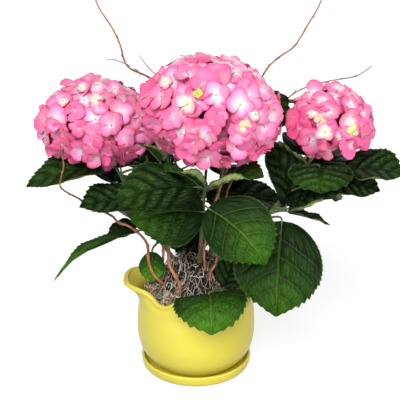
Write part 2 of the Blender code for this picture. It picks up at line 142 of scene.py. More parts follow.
def closedFaces(rings, around):
    # quads between rings that follow one another, and fans from both ends to the two points after them
    j = np.arange(around)
    k, last, end = (j + 1) % around, (rings - 1) * around, rings * around
    tris = np.concatenate([np.stack([np.full(around, end), k, j], -1),
                           np.stack([np.full(around, end + 1), last + j, last + k], -1)])
    return gridQuads(rings, around, wrap=True), tris


def turned(rings, low, high):
    # rings (rings, around, 3) of ringPoints, which run clockwise, closed at the points low and high
    quads, tris = closedFaces(*rings.shape[:2])
    return {"verts": np.concatenate([rings.reshape(-1, 3), [low, high]]), "quads": quads[:, ::-1],
            "tris": tris[:, ::-1]}


def tubes(points, radii, sides, **values):
    # many tubes at once: points (tubes, stations, 3), radii (tubes, stations); each station is a ring
    # round the path, carried along without twist, and both ends close in a point
    points, radii = np.asarray(points, float), np.asarray(radii, float)
    count, stations = radii.shape
    tangent = unit(np.gradient(points, axis=1))
    across = sideOf(tangent[:, 0])
    sideways = np.empty_like(points)
    for k in range(stations):
        across = unit(across - tangent[:, k] * np.sum(across * tangent[:, k], -1, keepdims=True))
        sideways[:, k] = across
    upward = np.cross(tangent, sideways)
    turn = fullTurn(sides)[:, None]
    ring = np.cos(turn) * sideways[:, :, None] + np.sin(turn) * upward[:, :, None]
    body = points[:, :, None] + radii[:, :, None, None] * ring
    verts = np.concatenate([body.reshape(count, -1, 3), points[:, :1], points[:, -1:]], axis=1)
    each = stations * sides + 2
    quads, tris = closedFaces(stations, sides)
    offsets = (np.arange(count) * each)[:, None, None]
    around, along = np.tile(np.arange(sides) / sides, stations), np.repeat(np.linspace(0, 1, stations), sides)
    uv = np.stack([np.append(around, [0, 0]), np.append(along, [0, 1])], -1)
    shape = {"verts": verts.reshape(-1, 3), "quads": (quads + offsets).reshape(-1, 4),
             "tris": (tris + offsets).reshape(-1, 3), "uv": np.tile(uv, (count, 1))}
    for key, value in values.items():
        shape[key] = np.repeat(np.broadcast_to(value, count).astype(float), each)
    return shape


def sheets(points, above, thickness, **values):
    # many thin closed sheets at once: points and above are (sheets, rows, cols, 3); the underside hangs
    # below the inner points and meets the upper side at the rim
    count, rows, cols = points.shape[:3]
    inner = np.zeros((rows, cols), bool)
    inner[1:-1, 1:-1] = True
    under = (points - thickness * above)[:, inner]
    place = np.arange(rows * cols).reshape(rows, cols)
    place[inner] = rows * cols + np.arange(inner.sum())
    top = gridQuads(rows, cols)
    quads = np.concatenate([top, place.ravel()[top][:, ::-1]])
    verts = np.concatenate([points.reshape(count, -1, 3), under], axis=1)
    each = verts.shape[1]
    shape = {"verts": verts.reshape(-1, 3),
             "quads": (quads + (np.arange(count) * each)[:, None, None]).reshape(-1, 4),
             "tris": np.empty((0, 3), int)}
    for key, value in values.items():
        value = np.asarray(value, float)
        if value.ndim > 1:      # a value for each point
            tail = value.shape[-1:] if key == "uv" else ()
            value = np.broadcast_to(value, (count, rows, cols) + tail)
            both = np.concatenate([value.reshape(count, rows * cols, *tail), value[:, inner]], 1)
            shape[key] = both.reshape(-1, *tail)
        else:
            shape[key] = np.repeat(np.broadcast_to(value, count), each)
    side = np.concatenate([np.zeros(rows * cols), np.ones(inner.sum())])
    shape["under"] = np.tile(side, count)
    return shape


# shader nodes

def newMaterial(name):
    # the material with its tree and its shader
    material = bpy.data.materials.new(name)
    material.use_nodes = True
    return material, material.node_tree, material.node_tree.nodes["Principled BSDF"]


def feed(tree, node, inputs):
    # each input is a socket to link or a plain value; a colour may leave out its alpha
    for key, value in inputs.items():
        socket = node.inputs[key]
        if isinstance(value, bpy.types.NodeSocket):
            tree.links.new(value, socket)
        elif socket.type == "RGBA" and len(value) == 3:
            socket.default_value = (*value, 1)
        else:
            socket.default_value = value
    return node


def put(tree, kind, inputs=None, **settings):
    node = tree.nodes.new(kind)
    for key, value in settings.items():
        setattr(node, key, value)
    return feed(tree, node, inputs or {})


def calc(tree, operation, a, b=0.0, c=0.0, clamp=False):
    return put(tree, "ShaderNodeMath", {0: a, 1: b, 2: c}, operation=operation, use_clamp=clamp).outputs[0]


def times(tree, a, b, clamp=False):
    return calc(tree, "MULTIPLY", a, b, clamp=clamp)


def ramp(tree, value, low, high, start=0.0, end=1.0):
    # a soft step from start to end as value goes from low to high
    inputs = {"Value": value, "From Min": low, "From Max": high, "To Min": start, "To Max": end}
    return put(tree, "ShaderNodeMapRange", inputs, interpolation_type="SMOOTHSTEP").outputs[0]


def blend(tree, share, first, second, kind="MIX"):
    # first * (1 - share) + second * share, or with first * second as kind MULTIPLY
    return put(tree, "ShaderNodeMix", {0: share, 6: first, 7: second}, data_type="RGBA",
               blend_type=kind).outputs[2]


def attribute(tree, name):
    return put(tree, "ShaderNodeAttribute", attribute_name=name).outputs["Fac"]


def objectPlace(tree):
    return put(tree, "ShaderNodeTexCoord").outputs["Object"]


def ownUv(tree):
    return put(tree, "ShaderNodeUVMap", uv_map="pieceUv").outputs[0]


def split(tree, vector):
    return put(tree, "ShaderNodeSeparateXYZ", {0: vector}).outputs


def stretched(tree, vector, scale):
    return put(tree, "ShaderNodeMapping", {"Vector": vector, "Scale": scale}).outputs[0]


def rampsOf(tree, values):
    # ramps that are called by their name in a dictionary of values
    return lambda value, name: ramp(tree, value, *values[name])


def noise(tree, where, scale, detail):
    return put(tree, "ShaderNodeTexNoise", {"Vector": where, "Scale": scale, "Detail": detail}).outputs["Fac"]


def cellular(tree, where, scale, inputs=None, **settings):
    # distance from the middle of the nearest of many random cells
    return put(tree, "ShaderNodeTexVoronoi", {"Vector": where, "Scale": scale, **(inputs or {})},
               **settings).outputs["Distance"]


def bump(tree, height, distance, strength, normal=None):
    # the normal tilted by the height's slope, on top of an earlier one
    inputs = {"Height": height, "Distance": distance, "Strength": strength}
    if normal:
        inputs["Normal"] = normal
    return put(tree, "ShaderNodeBump", inputs).outputs["Normal"]


def mottleGroup():
    # shared effect: a colour that drifts between itself and a second one, in soft patches with fine grain
    group = bpy.data.node_groups.new("mottle", "ShaderNodeTree")
    for name, kind, way in (("Vector", "Vector", "INPUT"), ("Colour", "Color", "INPUT"),
                            ("Second colour", "Color", "INPUT"), ("Scale", "Float", "INPUT"),
                            ("Amount", "Float", "INPUT"), ("Colour", "Color", "OUTPUT"),
                            ("Grain", "Float", "OUTPUT")):
        group.interface.new_socket(name, in_out=way, socket_type="NodeSocket" + kind)
    given = put(group, "NodeGroupInput").outputs
    patches = noise(group, given["Vector"], given["Scale"], 2.0)
    fine = noise(group, given["Vector"], times(group, given["Scale"], 9.0), 4.0)
    both = calc(group, "ADD", times(group, patches, 0.7), times(group, fine, 0.3))
    share = times(group, ramp(group, both, 0.35, 0.65), given["Amount"])
    colour = blend(group, share, given["Colour"], given["Second colour"])
    put(group, "NodeGroupOutput", {"Colour": colour, "Grain": fine})
    return group


mottle = mottleGroup()


def mottled(tree, where, first, second, scale, amount):
    # the mottle group's colour, and its fine grain
    node = put(tree, "ShaderNodeGroup", node_tree=mottle)
    feed(tree, node, {"Vector": where, "Colour": first, "Second colour": second, "Scale": scale,
                      "Amount": amount})
    return node.outputs["Colour"], node.outputs["Grain"]


# pot and saucer: stations are radius and height (mm), or the radius as a share of the belly's

pot = dict(
    belly=88.7, wall=5.0, neck=(0.967, 104), rimDip=(80, 121), rimLobe=(104.5, 139.5),
    rimFall=(1.77, 0.32), dipSoft=0.006, lobes=4, widening=math.radians(8.5), bead=3.7, drainHole=6.0,
    standsAt=5.3, floor=(0.64, 12.5), around=256,
    outer=((0.60, 5.3), (0.645, 5.6), (0.690, 6.5), (0.834, 18), (0.936, 32), (0.986, 48), (1.0, 64),
           (0.990, 88)),
    inner=((0.990, 88.3), (1.0, 64.3), (0.986, 48.3), (0.936, 32.3), (0.80, 20)),
    saucer=((77, 0), (80.4, 2.0), (82.4, 6), (83.6, 13.2), (83.4, 15.4), (82, 16.6), (80.2, 16.4),
            (79.2, 15.0), (77.5, 10.5), (73.4, 6.4), (70, 5.2), (66, 5.0)))
ceramic = dict(
    glaze=(0.655, 0.580, 0.080), glazeDeep=(0.640, 0.525, 0.040), drift=(9.0, 0.6),
    roughness=(0.29, 0.42), specular=0.28, coat=0.07, coatRoughness=0.16, peelScale=160.0,
    peel=(0.0002, 0.5))


def glazeMaterial():
    # two close yellows in soft patches, under a thin clear coat with a faint orange peel
    material, tree, shader = newMaterial("lemonGlaze")
    place = objectPlace(tree)
    colour, grain = mottled(tree, place, ceramic["glaze"], ceramic["glazeDeep"], *ceramic["drift"])
    peel = noise(tree, place, ceramic["peelScale"], 2.0)
    feed(tree, shader, {"Base Color": colour, "Roughness": ramp(tree, grain, 0.3, 0.7, *ceramic["roughness"]),
                        "Specular IOR Level": ceramic["specular"], "Coat Weight": ceramic["coat"],
                        "Coat Roughness": ceramic["coatRoughness"],
                        "Normal": bump(tree, peel, *ceramic["peel"])})
    return material


def rimAt(azimuth):
    # radius and height of the rounded edge's middle: both rise towards the middle of each of the four
    # lobes, and the two side lobes are wider than the front and back ones
    lobe = 0.5 + 0.5 * np.cos(pot["lobes"] * (azimuth + pot["widening"] * np.sin(2 * azimuth)))
    lobe = lobe ** 2 * (3 - 2 * lobe)
    soft, (swing, fall) = pot["dipSoft"], pot["rimFall"]
    climb = ((lobe + soft) ** fall - soft ** fall) / ((1 + soft) ** fall - soft ** fall)
    return tuple(low + (high - low) * part
                 for low, high, part in zip(pot["rimDip"], pot["rimLobe"], (lobe ** swing, climb)))


def ringPoints(radius, height, azimuth):
    # (-radius * sin, -radius * cos, height): the azimuth runs from the front towards -X
    x, y = -radius * np.sin(azimuth), -radius * np.cos(azimuth)
    return np.stack(np.broadcast_arrays(x, y, height), -1) * mm


def makePot(glaze):
    # one closed section for each azimuth: from the drain hole up the outside, over the rounded lip, down
    # the inside and over the floor; a smooth curve goes through its stations
    azimuth = fullTurn(pot["around"])
    rimRadius, rimHeight = rimAt(azimuth)
    belly, wall, bead = pot["belly"], pot["wall"], pot["bead"]
    neck = (pot["neck"][0] * belly, pot["neck"][1])
    bend = (neck[0] + 0.5 - 0.25 * np.maximum(neck[0] - rimRadius, 0),
            neck[1] + 0.58 * (rimHeight - neck[1]))
    edge = (rimRadius + 0.45 * bead, rimHeight - 0.5 * bead)
    flare = [tuple(bezier(t, *way) for way in zip(neck, bend, edge)) for t in (0.25, 0.5, 0.75)]
    lip = [(rimRadius + bead * math.cos(a), rimHeight + bead * math.sin(a))
           for a in np.radians(range(-35, 180, 30))]
    section = [(pot["drainHole"], pot["standsAt"])]
    section += [(share * belly, height) for share, height in pot["outer"]] + [neck] + flare + lip
    section += [(r - wall, z - 0.1 * wall) for r, z in reversed(flare)] + [(neck[0] - wall, neck[1])]
    section += [(share * belly - wall, height) for share, height in pot["inner"]]
    section += [(pot["floor"][0] * belly, pot["floor"][1]), (pot["drainHole"], pot["floor"][1])]
    stations = np.array([np.broadcast_arrays(r, z, azimuth)[:2] for r, z in section])
    smooth = throughPoints(stations.reshape(len(section), -1), 5).reshape(-1, 2, len(azimuth))
    rings = ringPoints(smooth[:, 0], smooth[:, 1], azimuth)
    quads = gridQuads(*rings.shape[:2], wrap=True, loop=True)[:, ::-1]
    shape = {"verts": rings.reshape(-1, 3), "quads": quads, "tris": np.empty((0, 3), int)}
    addPiece("glazedPot", shape, glaze, "pot", slot="glaze")


def makeSaucer(glaze):
    # the rim's profile turned round Z, closed below and by its floor
    profile = throughPoints(pot["saucer"], 4)
    rings = ringPoints(profile[:, :1], profile[:, 1:], fullTurn(pot["around"]))
    shape = turned(rings, (0, 0, 0), (0, 0, pot["saucer"][-1][1] * mm))
    addPiece("glazedSaucer", shape, glaze, "saucer", slot="glaze")


print("glazing the pot and its saucer")
lemonGlaze = glazeMaterial()
makePot(lemonGlaze)
makeSaucer(lemonGlaze)


# root ball, moss and root fibres

ball = dict(
    level=117, heap=50, radius=54, back=8, steepness=5, bumps=2.2, edgeDrop=4, base=60, wallGap=0.3,
    rings=70, around=180, peat=(0.006, 0.004, 0.003), peatLight=(0.030, 0.019, 0.012), drift=(70.0, 0.9),
    crumb=(0.14, 0.10, 0.07), crumbScale=420.0, crumbDepth=(0.0015, 0.9), grainDepth=(0.002, 0.8),
    roughness=0.95, specular=0.2)
# each tangle: strands, farthest and nearest to the middle (mm, share of the area), stations, bend for
# each step, lift and radius (mm), where it is palest and how far around (mm), and its two colours
tangles = {
    "dryMoss": dict(skin="dryMoss", count=800, within=79, hollow=0.55, stations=9, bend=0.55, lift=8.0,
                    radius=(0.25, 0.60), palest=None, dark=(0.06, 0.033, 0.018), light=(0.78, 0.62, 0.38)),
    "rootFibres": dict(skin="paleRoots", count=240, within=74, hollow=0.05, stations=14, bend=0.42, lift=14.0,
                       radius=(0.22, 0.55), palest=(-34, -42, 40), dark=(0.11, 0.070, 0.045),
                       light=(0.92, 0.86, 0.75)),
}
# step between stations and how far out the wall lets them go (mm), and the tip's share of the radius
strand = dict(step=2.6, wall=77, tip=0.3, roughness=0.8)


def heapHeight(x, y):
    # level at the wall and heaped behind the middle; x, y and the height in mm
    reach = np.hypot(x, y - ball["back"]) / ball["radius"]
    wall = np.minimum(np.hypot(x, y) / (pot["neck"][0] * pot["belly"]), 1)
    return ball["level"] + ball["heap"] * (1 - wall ** 4) / (1 + reach ** ball["steepness"])


def peatMaterial():
    # nearly black peat with paler crumbs
    material, tree, shader = newMaterial("peat")
    place = objectPlace(tree)
    colour, grain = mottled(tree, place, ball["peat"], ball["peatLight"], *ball["drift"])
    crumbs = cellular(tree, place, ball["crumbScale"], {"Randomness": 1.0})
    relief = bump(tree, crumbs, *ball["crumbDepth"], bump(tree, grain, *ball["grainDepth"]))
    colour = blend(tree, ramp(tree, crumbs, 0.1, 0.5, 0.35, 0.0), colour, ball["crumb"])
    feed(tree, shader, {"Base Color": colour, "Roughness": ball["roughness"],
                        "Specular IOR Level": ball["specular"], "Normal": relief})
    return material


def makeRootBall():
    # rings from the wall to the middle at heapHeight plus bumps, over a straight skirt
    shares = np.linspace(1, 0.02, ball["rings"])[:, None]
    radius = (pot["neck"][0] * pot["belly"] - pot["wall"] - ball["wallGap"]) * shares
    flat = ringPoints(radius, 0.0, fullTurn(ball["around"]))
    rough = smoothNoise(flat, 260, 1) + 0.7 * smoothNoise(flat, 700, 2)
    height = (heapHeight(flat[..., 0] / mm, flat[..., 1] / mm) - ball["edgeDrop"] * (shares > 0.95)
              + ball["bumps"] * rough * np.minimum(1, (1 - shares) * 8))
    top = flat + height[..., None] * np.array([0, 0, mm])
    base = np.array([0, 0, ball["base"] * mm])
    shape = turned(np.concatenate([flat[:1] + base, top]), base, (0, 0, heapHeight(0, 0) * mm))
    addPiece("rootBall", shape, peatMaterial(), "soil", slot="soil")


def fibreMaterial(name, dark, light):
    # dark to light by each strand's tone, with darker flecks
    material, tree, shader = newMaterial(name)
    colour = blend(tree, attribute(tree, "tone"), dark, light)
    flecks = ramp(tree, noise(tree, objectPlace(tree), 300.0, 3.0), 0.4, 0.7, 0.0, 0.4)
    feed(tree, shader, {"Base Color": blend(tree, flecks, colour, tuple(0.45 * c for c in dark)),
                        "Roughness": strand["roughness"]})
    return material


def wander(kind, x, y, dice):
    # curly strands over the heap: each heading drifts by a random bend at every station
    count, bend = kind["count"], kind["bend"]
    heading = dice.uniform(0, 2 * math.pi, count)
    curl = dice.normal(0, 0.35 * bend, count)
    points = []
    rise = dice.uniform(0.3, kind["lift"], count)
    for k in range(kind["stations"]):
        wave = rise * (0.6 + 0.4 * np.sin(k * 1.1 + heading * 3))
        points.append(np.stack([x, y, heapHeight(x, y) + wave], -1))
        heading = heading + curl + dice.normal(0, bend, count)
        x = x + strand["step"] * np.cos(heading)
        y = y + strand["step"] * np.sin(heading)
        pull = np.minimum(1, strand["wall"] / np.maximum(np.hypot(x, y), 1))
        x, y = x * pull, y * pull
    return np.stack(points, 1) * mm


def makeTangles():
    # dry moss lies thickest along the wall; fewer and paler roots curl over the heap
    dice = np.random.default_rng([seed, 21])
    for name, kind in tangles.items():
        count = kind["count"]
        angle = dice.uniform(0, 2 * math.pi, count)
        radius = kind["within"] * dice.uniform(kind["hollow"], 1.0, count) ** 0.5
        x, y = radius * np.cos(angle), radius * np.sin(angle)
        points = wander(kind, x, y, dice)
        radii = np.repeat(dice.uniform(*kind["radius"], (count, 1)) * mm, kind["stations"], axis=1)
        radii[:, -1] *= strand["tip"]
        tone = dice.uniform(0, 1, count)
        if kind["palest"]:
            across, back, reach = kind["palest"]
            tone *= 0.40 + 0.85 * np.exp(-(np.hypot(x - across, y - back) / reach) ** 2)
        addPiece(name, tubes(points, radii, 4, tone=tone),
                 fibreMaterial(kind["skin"], kind["dark"], kind["light"]), slot="soil")


print("heaping the root ball")
makeRootBall()
makeTangles()


# limbs: canes, the stems that carry on from them, and the willow

# foot on the root ball (mm), heading, lean from upright at foot and tip (degrees), length (mm), and the
# share of it where the leaves begin
canes = {
    "left": dict(foot=(-30, 2), heading=177, lean=(35, 25), length=179, leafy=0.20),
    "centre": dict(foot=(6, -8), heading=-73, lean=(8, 14), length=152, leafy=0.35),
    "right": dict(foot=(30, 3), heading=0, lean=(50, 31), length=206, leafy=0.42),
    "back_left": dict(foot=(-14, 30), heading=122, lean=(12, 34), length=150, leafy=0.25),
    "back_right": dict(foot=(22, 32), heading=50, lean=(8, 20), length=205, leafy=0.25),
    "front": dict(foot=(30, -42), heading=-80, lean=(20, 60), length=26, leafy=0.35),
}
limb = dict(
    footLift=0.7, caneRadius=(3.4, 2.6), stemRadius=(2.6, 1.9), petioleRadius=(1.9, 1.3),
    petioleBase=1.35, petioleRise=0.35, ribRadius=(1.2, 1.1, 0.9, 0.65, 0.35),
    ribAt=(0.05, 0.12, 0.25, 0.45, 0.7), ribSunk=2.3, joints=5, jointSwell=0.22, stations=90)
skin = dict(
    green=(0.050, 0.100, 0.022), woody=(0.16, 0.12, 0.06), pale=(0.085, 0.155, 0.038), drift=(60.0, 0.8),
    speckScale=700.0, specks=(0.08, 0.2, 0.5, 0.0), woodyFoot=(0.0, 0.5, 0.35, 0.0), relief=(0.0004, 0.6))


def canePoint(cane, share):
    # the lean changes evenly along the cane, so its line is an arc; share may be an array
    share = np.atleast_1d(np.asarray(share, float))
    steps = 24
    low, high = np.radians(cane["lean"])
    heading = math.radians(cane["heading"])
    angle = low + (high - low) * share[:, None] * (np.arange(steps) + 0.5) / steps
    step = cane["length"] * mm * share / steps
    reach = step * np.sin(angle).sum(1)
    x, y = cane["foot"]
    start = (heapHeight(x, y) + limb["footLift"]) * mm
    return np.stack([x * mm + reach * math.cos(heading), y * mm + reach * math.sin(heading),
                     start + step * np.cos(angle).sum(1)], -1)


def stemMaterial(name, first, second, roughness):
    # mottled skin with dark specks, turning woody towards the foot (v = 0)
    material, tree, shader = newMaterial(name)
    place = objectPlace(tree)
    colour, grain = mottled(tree, place, first, second, *skin["drift"])
    specks = ramp(tree, cellular(tree, place, skin["speckScale"]), *skin["specks"])
    colour = blend(tree, specks, colour, tuple(0.35 * c for c in first))
    foot = ramp(tree, split(tree, ownUv(tree))[1], *skin["woodyFoot"])
    feed(tree, shader, {"Base Color": blend(tree, foot, colour, skin["woody"]), "Roughness": roughness,
                        "Normal": bump(tree, grain, *skin["relief"])})
    return material


def makeCanes():
    # the radius falls evenly along a cane and swells at its joints: cos^24 of the share
    shares = np.linspace(0, 1, limb["stations"])
    beat = np.cos(shares * limb["joints"] * 2 * math.pi)
    swell = 1 + limb["jointSwell"] * beat ** 24 * (beat > 0)
    parts = []
    for name, cane in canes.items():
        low, high = limb["stemRadius"] if name == "front" else (limb["caneRadius"][0], limb["stemRadius"][1])
        radii = (low + (high - low) * shares) * swell * mm
        parts.append(tubes(canePoint(cane, shares)[None], radii[None], 14))
    nodes = ["cane_" + name for name in canes if name != "front"]
    material = stemMaterial("caneSkin", skin["green"], skin["woody"], 0.5)
    addPiece("canes", join(parts), material, *nodes, slot="cane")


# points (mm) that each twig bends through, from its foot up, and its radius at foot and tip
willow = {
    "1": (((-45, -25, 0), (-60, -27, 154), (-68, -30, 176), (-69, -35, 203), (-75, -40, 219),
           (-93, -45, 238), (-109, -42, 243), (-119, -30, 248), (-142, 0, 248), (-159, -6, 259),
           (-166, -28, 274), (-184, -58, 299), (-182, -66, 316), (-176, -74, 337), (-178, -84, 369)),
          (2.2, 0.8)),
    "2": (((-22, -46, 0), (-24, -46, 150), (-32, -42, 165), (-39, -35, 178), (-39, -28, 200),
           (-35, -5, 241), (-29, 10, 274), (-29, 20, 310), (-36, 34, 340), (-48, 44, 372),
           (-58, 42, 410), (-59, 32, 429), (-71, 20, 440), (-95, 10, 455), (-104, 10, 484),
           (-114, 10, 507), (-129, 5, 532), (-136, 5, 552), (-141, 10, 580)), (2.4, 0.7)),
    "3": (((-50, -10, 0), (-49, -12, 165), (-48, -15, 195), (-55, 0, 239), (-64, 20, 278),
           (-69, 25, 298), (-73, 40, 318)), (2.2, 1.0)),
    "4": (((14, -26, 0), (12, -15, 188), (18, -4, 223), (25, 8, 249), (33, 16, 267), (38, 22, 281),
           (56, 36, 325), (81, 40, 394), (96, 36, 438), (112, 30, 460), (134, 20, 478), (144, 15, 493),
           (153, 10, 511), (165, 5, 534), (176, 0, 565)), (2.0, 0.7)),
    "5": (((20, -34, 0), (22, -31, 163), (30, -23, 175), (37, -4, 209), (44, 16, 254), (48, 28, 270),
           (76, 60, 322), (106, 72, 366), (127, 66, 390), (145, 65, 406), (169, 65, 417),
           (192, 64, 423), (209, 60, 427), (230, 40, 436), (248, 30, 451)), (2.0, 0.6)),
}
sideTwigs = (      # the same for the short side twigs, root first
    (((-92, 11, 454), (-96, 22, 455), (-108, 25, 459), (-116, 28, 461), (-125, 30, 460)), (0.8, 0.4)),
    (((-52, 24, 433), (-55, 32, 436), (-65, 40, 445), (-71, 40, 452), (-80, 44, 464)), (0.8, 0.4)),
    (((-85, 15, 450), (-80, 17, 446), (-76, 16, 439)), (0.7, 0.4)),
    (((139, 65, 401), (144, 64, 405), (147, 63, 413)), (0.7, 0.4)),
)
buds = dict(
    every=26, jitter=6, fromTip=8, length=5.2, radius=1.15, sunk=0.4, swell=0.22, swellLength=2.5,
    wobble=0.25)
bark = dict(
    willow=((0.46, 0.155, 0.058), (0.17, 0.055, 0.026)),
    grey=((0.13, 0.12, 0.085), (0.055, 0.060, 0.045)), drift=(70.0, 1.0), ringColour=(0.50, 0.26, 0.12),
    ringScale=900.0, ringFlat=(0.25, 0.25, 1), rings=(0.5, 0.7, 0.0, 0.45), ringRelief=(0.0003, 0.6),
    relief=(0.0005, 0.6), dryColour=(0.20, 0.17, 0.12), dryTowardsX=(0.14, 0.20, 0.0, 0.8), roughness=0.5)


def barkMaterial(name, first, second):
    # mottled bark with faint rings across Z, drying to grey towards the twig ends on the +X side
    material, tree, shader = newMaterial(name)
    place = objectPlace(tree)
    colour, grain = mottled(tree, place, first, second, *bark["drift"])
    rings = noise(tree, stretched(tree, place, bark["ringFlat"]), bark["ringScale"], 2.0)
    colour = blend(tree, ramp(tree, rings, *bark["rings"]), colour, bark["ringColour"])
    dry = ramp(tree, split(tree, place)[0], *bark["dryTowardsX"])
    relief = bump(tree, rings, *bark["ringRelief"], bump(tree, grain, *bark["relief"]))
    feed(tree, shader, {"Base Color": blend(tree, dry, colour, bark["dryColour"]),
                        "Roughness": bark["roughness"], "Normal": relief})
    return material


def budOn(curve, radius, i, number):
    # a bud's line and radii at point i of a twig: each leans out 2.4 radians round from the last
    along = unit(curve[min(i + 1, len(curve) - 1)] - curve[i - 1])
    sideways = unit(np.cross(along, (math.cos(2.4 * number), math.sin(2.4 * number), 0.3)))
    root = curve[i] + sideways * (radius[i] - buds["sunk"])
    steps = np.linspace(0, 1, 6)[:, None]
    line = root + buds["length"] * steps * (0.92 * along + 0.38 * sideways * (1 - 0.6 * steps))
    steps = steps[:, 0]
    return line, buds["radius"] * np.sqrt(radius[i]) * (0.35 + 1.1 * steps) * (1.02 - steps) ** 0.7


def makeWillow():
    # round rods that thin out along their length, with a faint swelling under every bud
    material = barkMaterial("willowBark", *bark["willow"])
    dice = np.random.default_rng([seed, 31])
    budded = []
    for name, (points, (low, high)) in willow.items():
        points = np.array(points, float)
        points[0, 2] = heapHeight(*points[0, :2]) + limb["footLift"]
        curve = throughPoints(points, 9)
        run = np.concatenate([[0], np.cumsum(np.linalg.norm(np.diff(curve, axis=0), axis=1))])
        share = run / run[-1]
        radius = low + (high - low) * share
        knots = np.arange(buds["every"], run[-1] - buds["fromTip"], buds["every"])
        knots = knots + dice.uniform(-buds["jitter"], buds["jitter"], len(knots))
        swell = sum(buds["swell"] * np.exp(-((run - k) / buds["swellLength"]) ** 2) for k in knots)
        wobble = np.stack([smoothNoise(curve, 0.16, 40 + a) for a in range(3)], -1)
        curve = curve + buds["wobble"] * wobble * (share > 0.03)[:, None]
        rod = tubes(curve[None] * mm, (radius * (1 + swell))[None] * mm, 12)
        addPiece("willowTwig" + name, rod, material, "willow_twig_" + name, slot="willow")
        budded += [budOn(curve, radius, np.searchsorted(run, k), number) for number, k in enumerate(knots)]
    lines, radii = (np.array(part) * mm for part in zip(*budded))
    addPiece("willowBuds", tubes(lines, radii, 8), material, slot="willow")
    sides = []
    for points, ends in sideTwigs:
        curve = throughPoints(points, 8)
        sides.append(tubes(curve[None] * mm, np.linspace(*ends, len(curve))[None] * mm, 8))
    addPiece("sideTwigs", join(sides), barkMaterial("greyBark", *bark["grey"]), slot="willow")


print("growing the canes and the willow")
makeCanes()
makeWillow()


# leaves

# each blade: foot (mm), heading, rise at the foot, pitch at the tip, roll about the midrib (degrees),
# length and width (mm), its tone from 0, dark, to 1, fresh green, and how far its left and right margins
# are rolled up, from 0 to 1; a low tone is partly the leaf's own deep green and partly painted shade for
# blades that sit under the heads or at the back
leaves = {
    "left": (
        (-121, 10, 309, -163, 6, -26, -12, 126, 90, 0.20, 0.4, 0.2),
        (-72, -5, 259, -156, 20, -14, -15, 101, 84, 0.08, 0.2, 0.2),
        (-82, -6, 217, -171, -6, -57, 3, 152, 46, 0.70, 0.2, 0.3),
        (-88, 16, 214, 176, -4, -34, -28, 48, 40, 0.12, 0.2, 0.2),
        (-51, -10, 325, -130, 56, 16, -5, 51, 50, 0.70, 0.9, 0.3),
        (-64, -16, 188, -92, -78, -90, 0, 47, 40, 1.00, 0.1, 0.1),
    ),
    "centre": (
        (2, -55, 300, -159, 12, -25, -33, 117, 88, 0.15, 0.35, 0.1),
        (12, -45, 260, -163, 12, -18, -50, 107, 112, 0.31, 0.0, 0.1),
        (17, -62, 272, -36, -16, -52, 34, 115, 102, 0.42, 0.1, 0.1),
        (9, -45, 296, -139, 48, 8, -5, 78, 60, 0.45, 1.0, 0.4),
        (25, -50, 297, -35, 41, -4, 12, 87, 74, 0.25, 0.3, 1.0),
    ),
    "right": (
        (123, -25, 239, -100, -52, -82, 4, 138, 130, 0.34, 0.1, 0.1),
        (131, 0, 251, 156, 104, 20, -42, 104, 54, 0.05, 0.1, 0.6),
        (173, -24, 321, -94, -2, -90, 0, 50, 94, 0.22, 0.3, 0.3),
        (207, -15, 312, -17, 12, -13, 14, 88, 92, 0.10, 0.5, 0.45),
        (193, -20, 293, -17, 10, -20, 22, 68, 66, 0.05, 0.3, 0.3),
        (134, -10, 253, -23, 43, 4, 20, 85, 88, 0.10, 0.2, 0.6),
        (135, 10, 241, -9, -7, -27, -10, 66, 50, 0.25, 0.3, 0.3),
        (163, 15, 300, 176, 46, 21, 20, 83, 66, 0.02, 0.3, 0.3),
    ),
    "back_right": (
        (97, 45, 362, 0, 62, 32, 55, 56, 66, 0.05, 0.2, 0.2),
        (16, 40, 247, 11, 5, -21, 18, 129, 96, 0.03, 0.1, 0.1),
        (24, 44, 194, -168, -4, -14, -60, 74, 58, 0.03, 0.1, 0.1),
    ),
    "front": (
        (19, -74, 147, -88, 28, -84, 8, 88, 104, 0.66, 0.0, 0.0),
        (40, -40, 140, 30, 68, 40, 40, 58, 46, 0.08, 0.2, 0.2),
    ),
}
backLeaves = {     # share of the cane's length at which each stands, and its heading
    "left": ((0.55, 90), (0.42, 120), (0.80, 105), (0.68, 150)),
    "right": ((0.68, 75), (0.80, 30), (0.92, 75), (0.50, 40)),
    "back_left": ((0.68, 135), (0.42, 60), (0.80, 30), (0.30, 125), (0.80, 90)),
    "back_right": ((0.92, 45), (0.68, 150), (0.50, 80), (0.80, 90), (0.92, 150)),
}
backLeaf = dict(
    length=118, width=92, size=(0.85, 1.1), spread=5, rise=(-6, 34), droop=(-62, -26), pitchSpread=6,
    roll=10, petiole=30, petioleRise=0.45, looks=(0.1, 0.5))
blade = dict(
    fold=math.radians(12), curl=0.12, thickness=0.6, toothEvery=6.0, teeth=(9, 22), toothDepth=2.6,
    toothForward=2.4, veinPairs=5.2, stagger=0.35, sweep=0.36, puff=3.6, groove=1.4, wave=2.4, drift=0.8,
    edgeFrom=0.78, edgeRadius=5.0, fullSize=90, rowGap=0.022, bend=1.2,
    columns=(0, 0.03, 0.10, 0.20, 0.32, 0.45, 0.58, 0.70, 0.81, 0.91, 1.0))
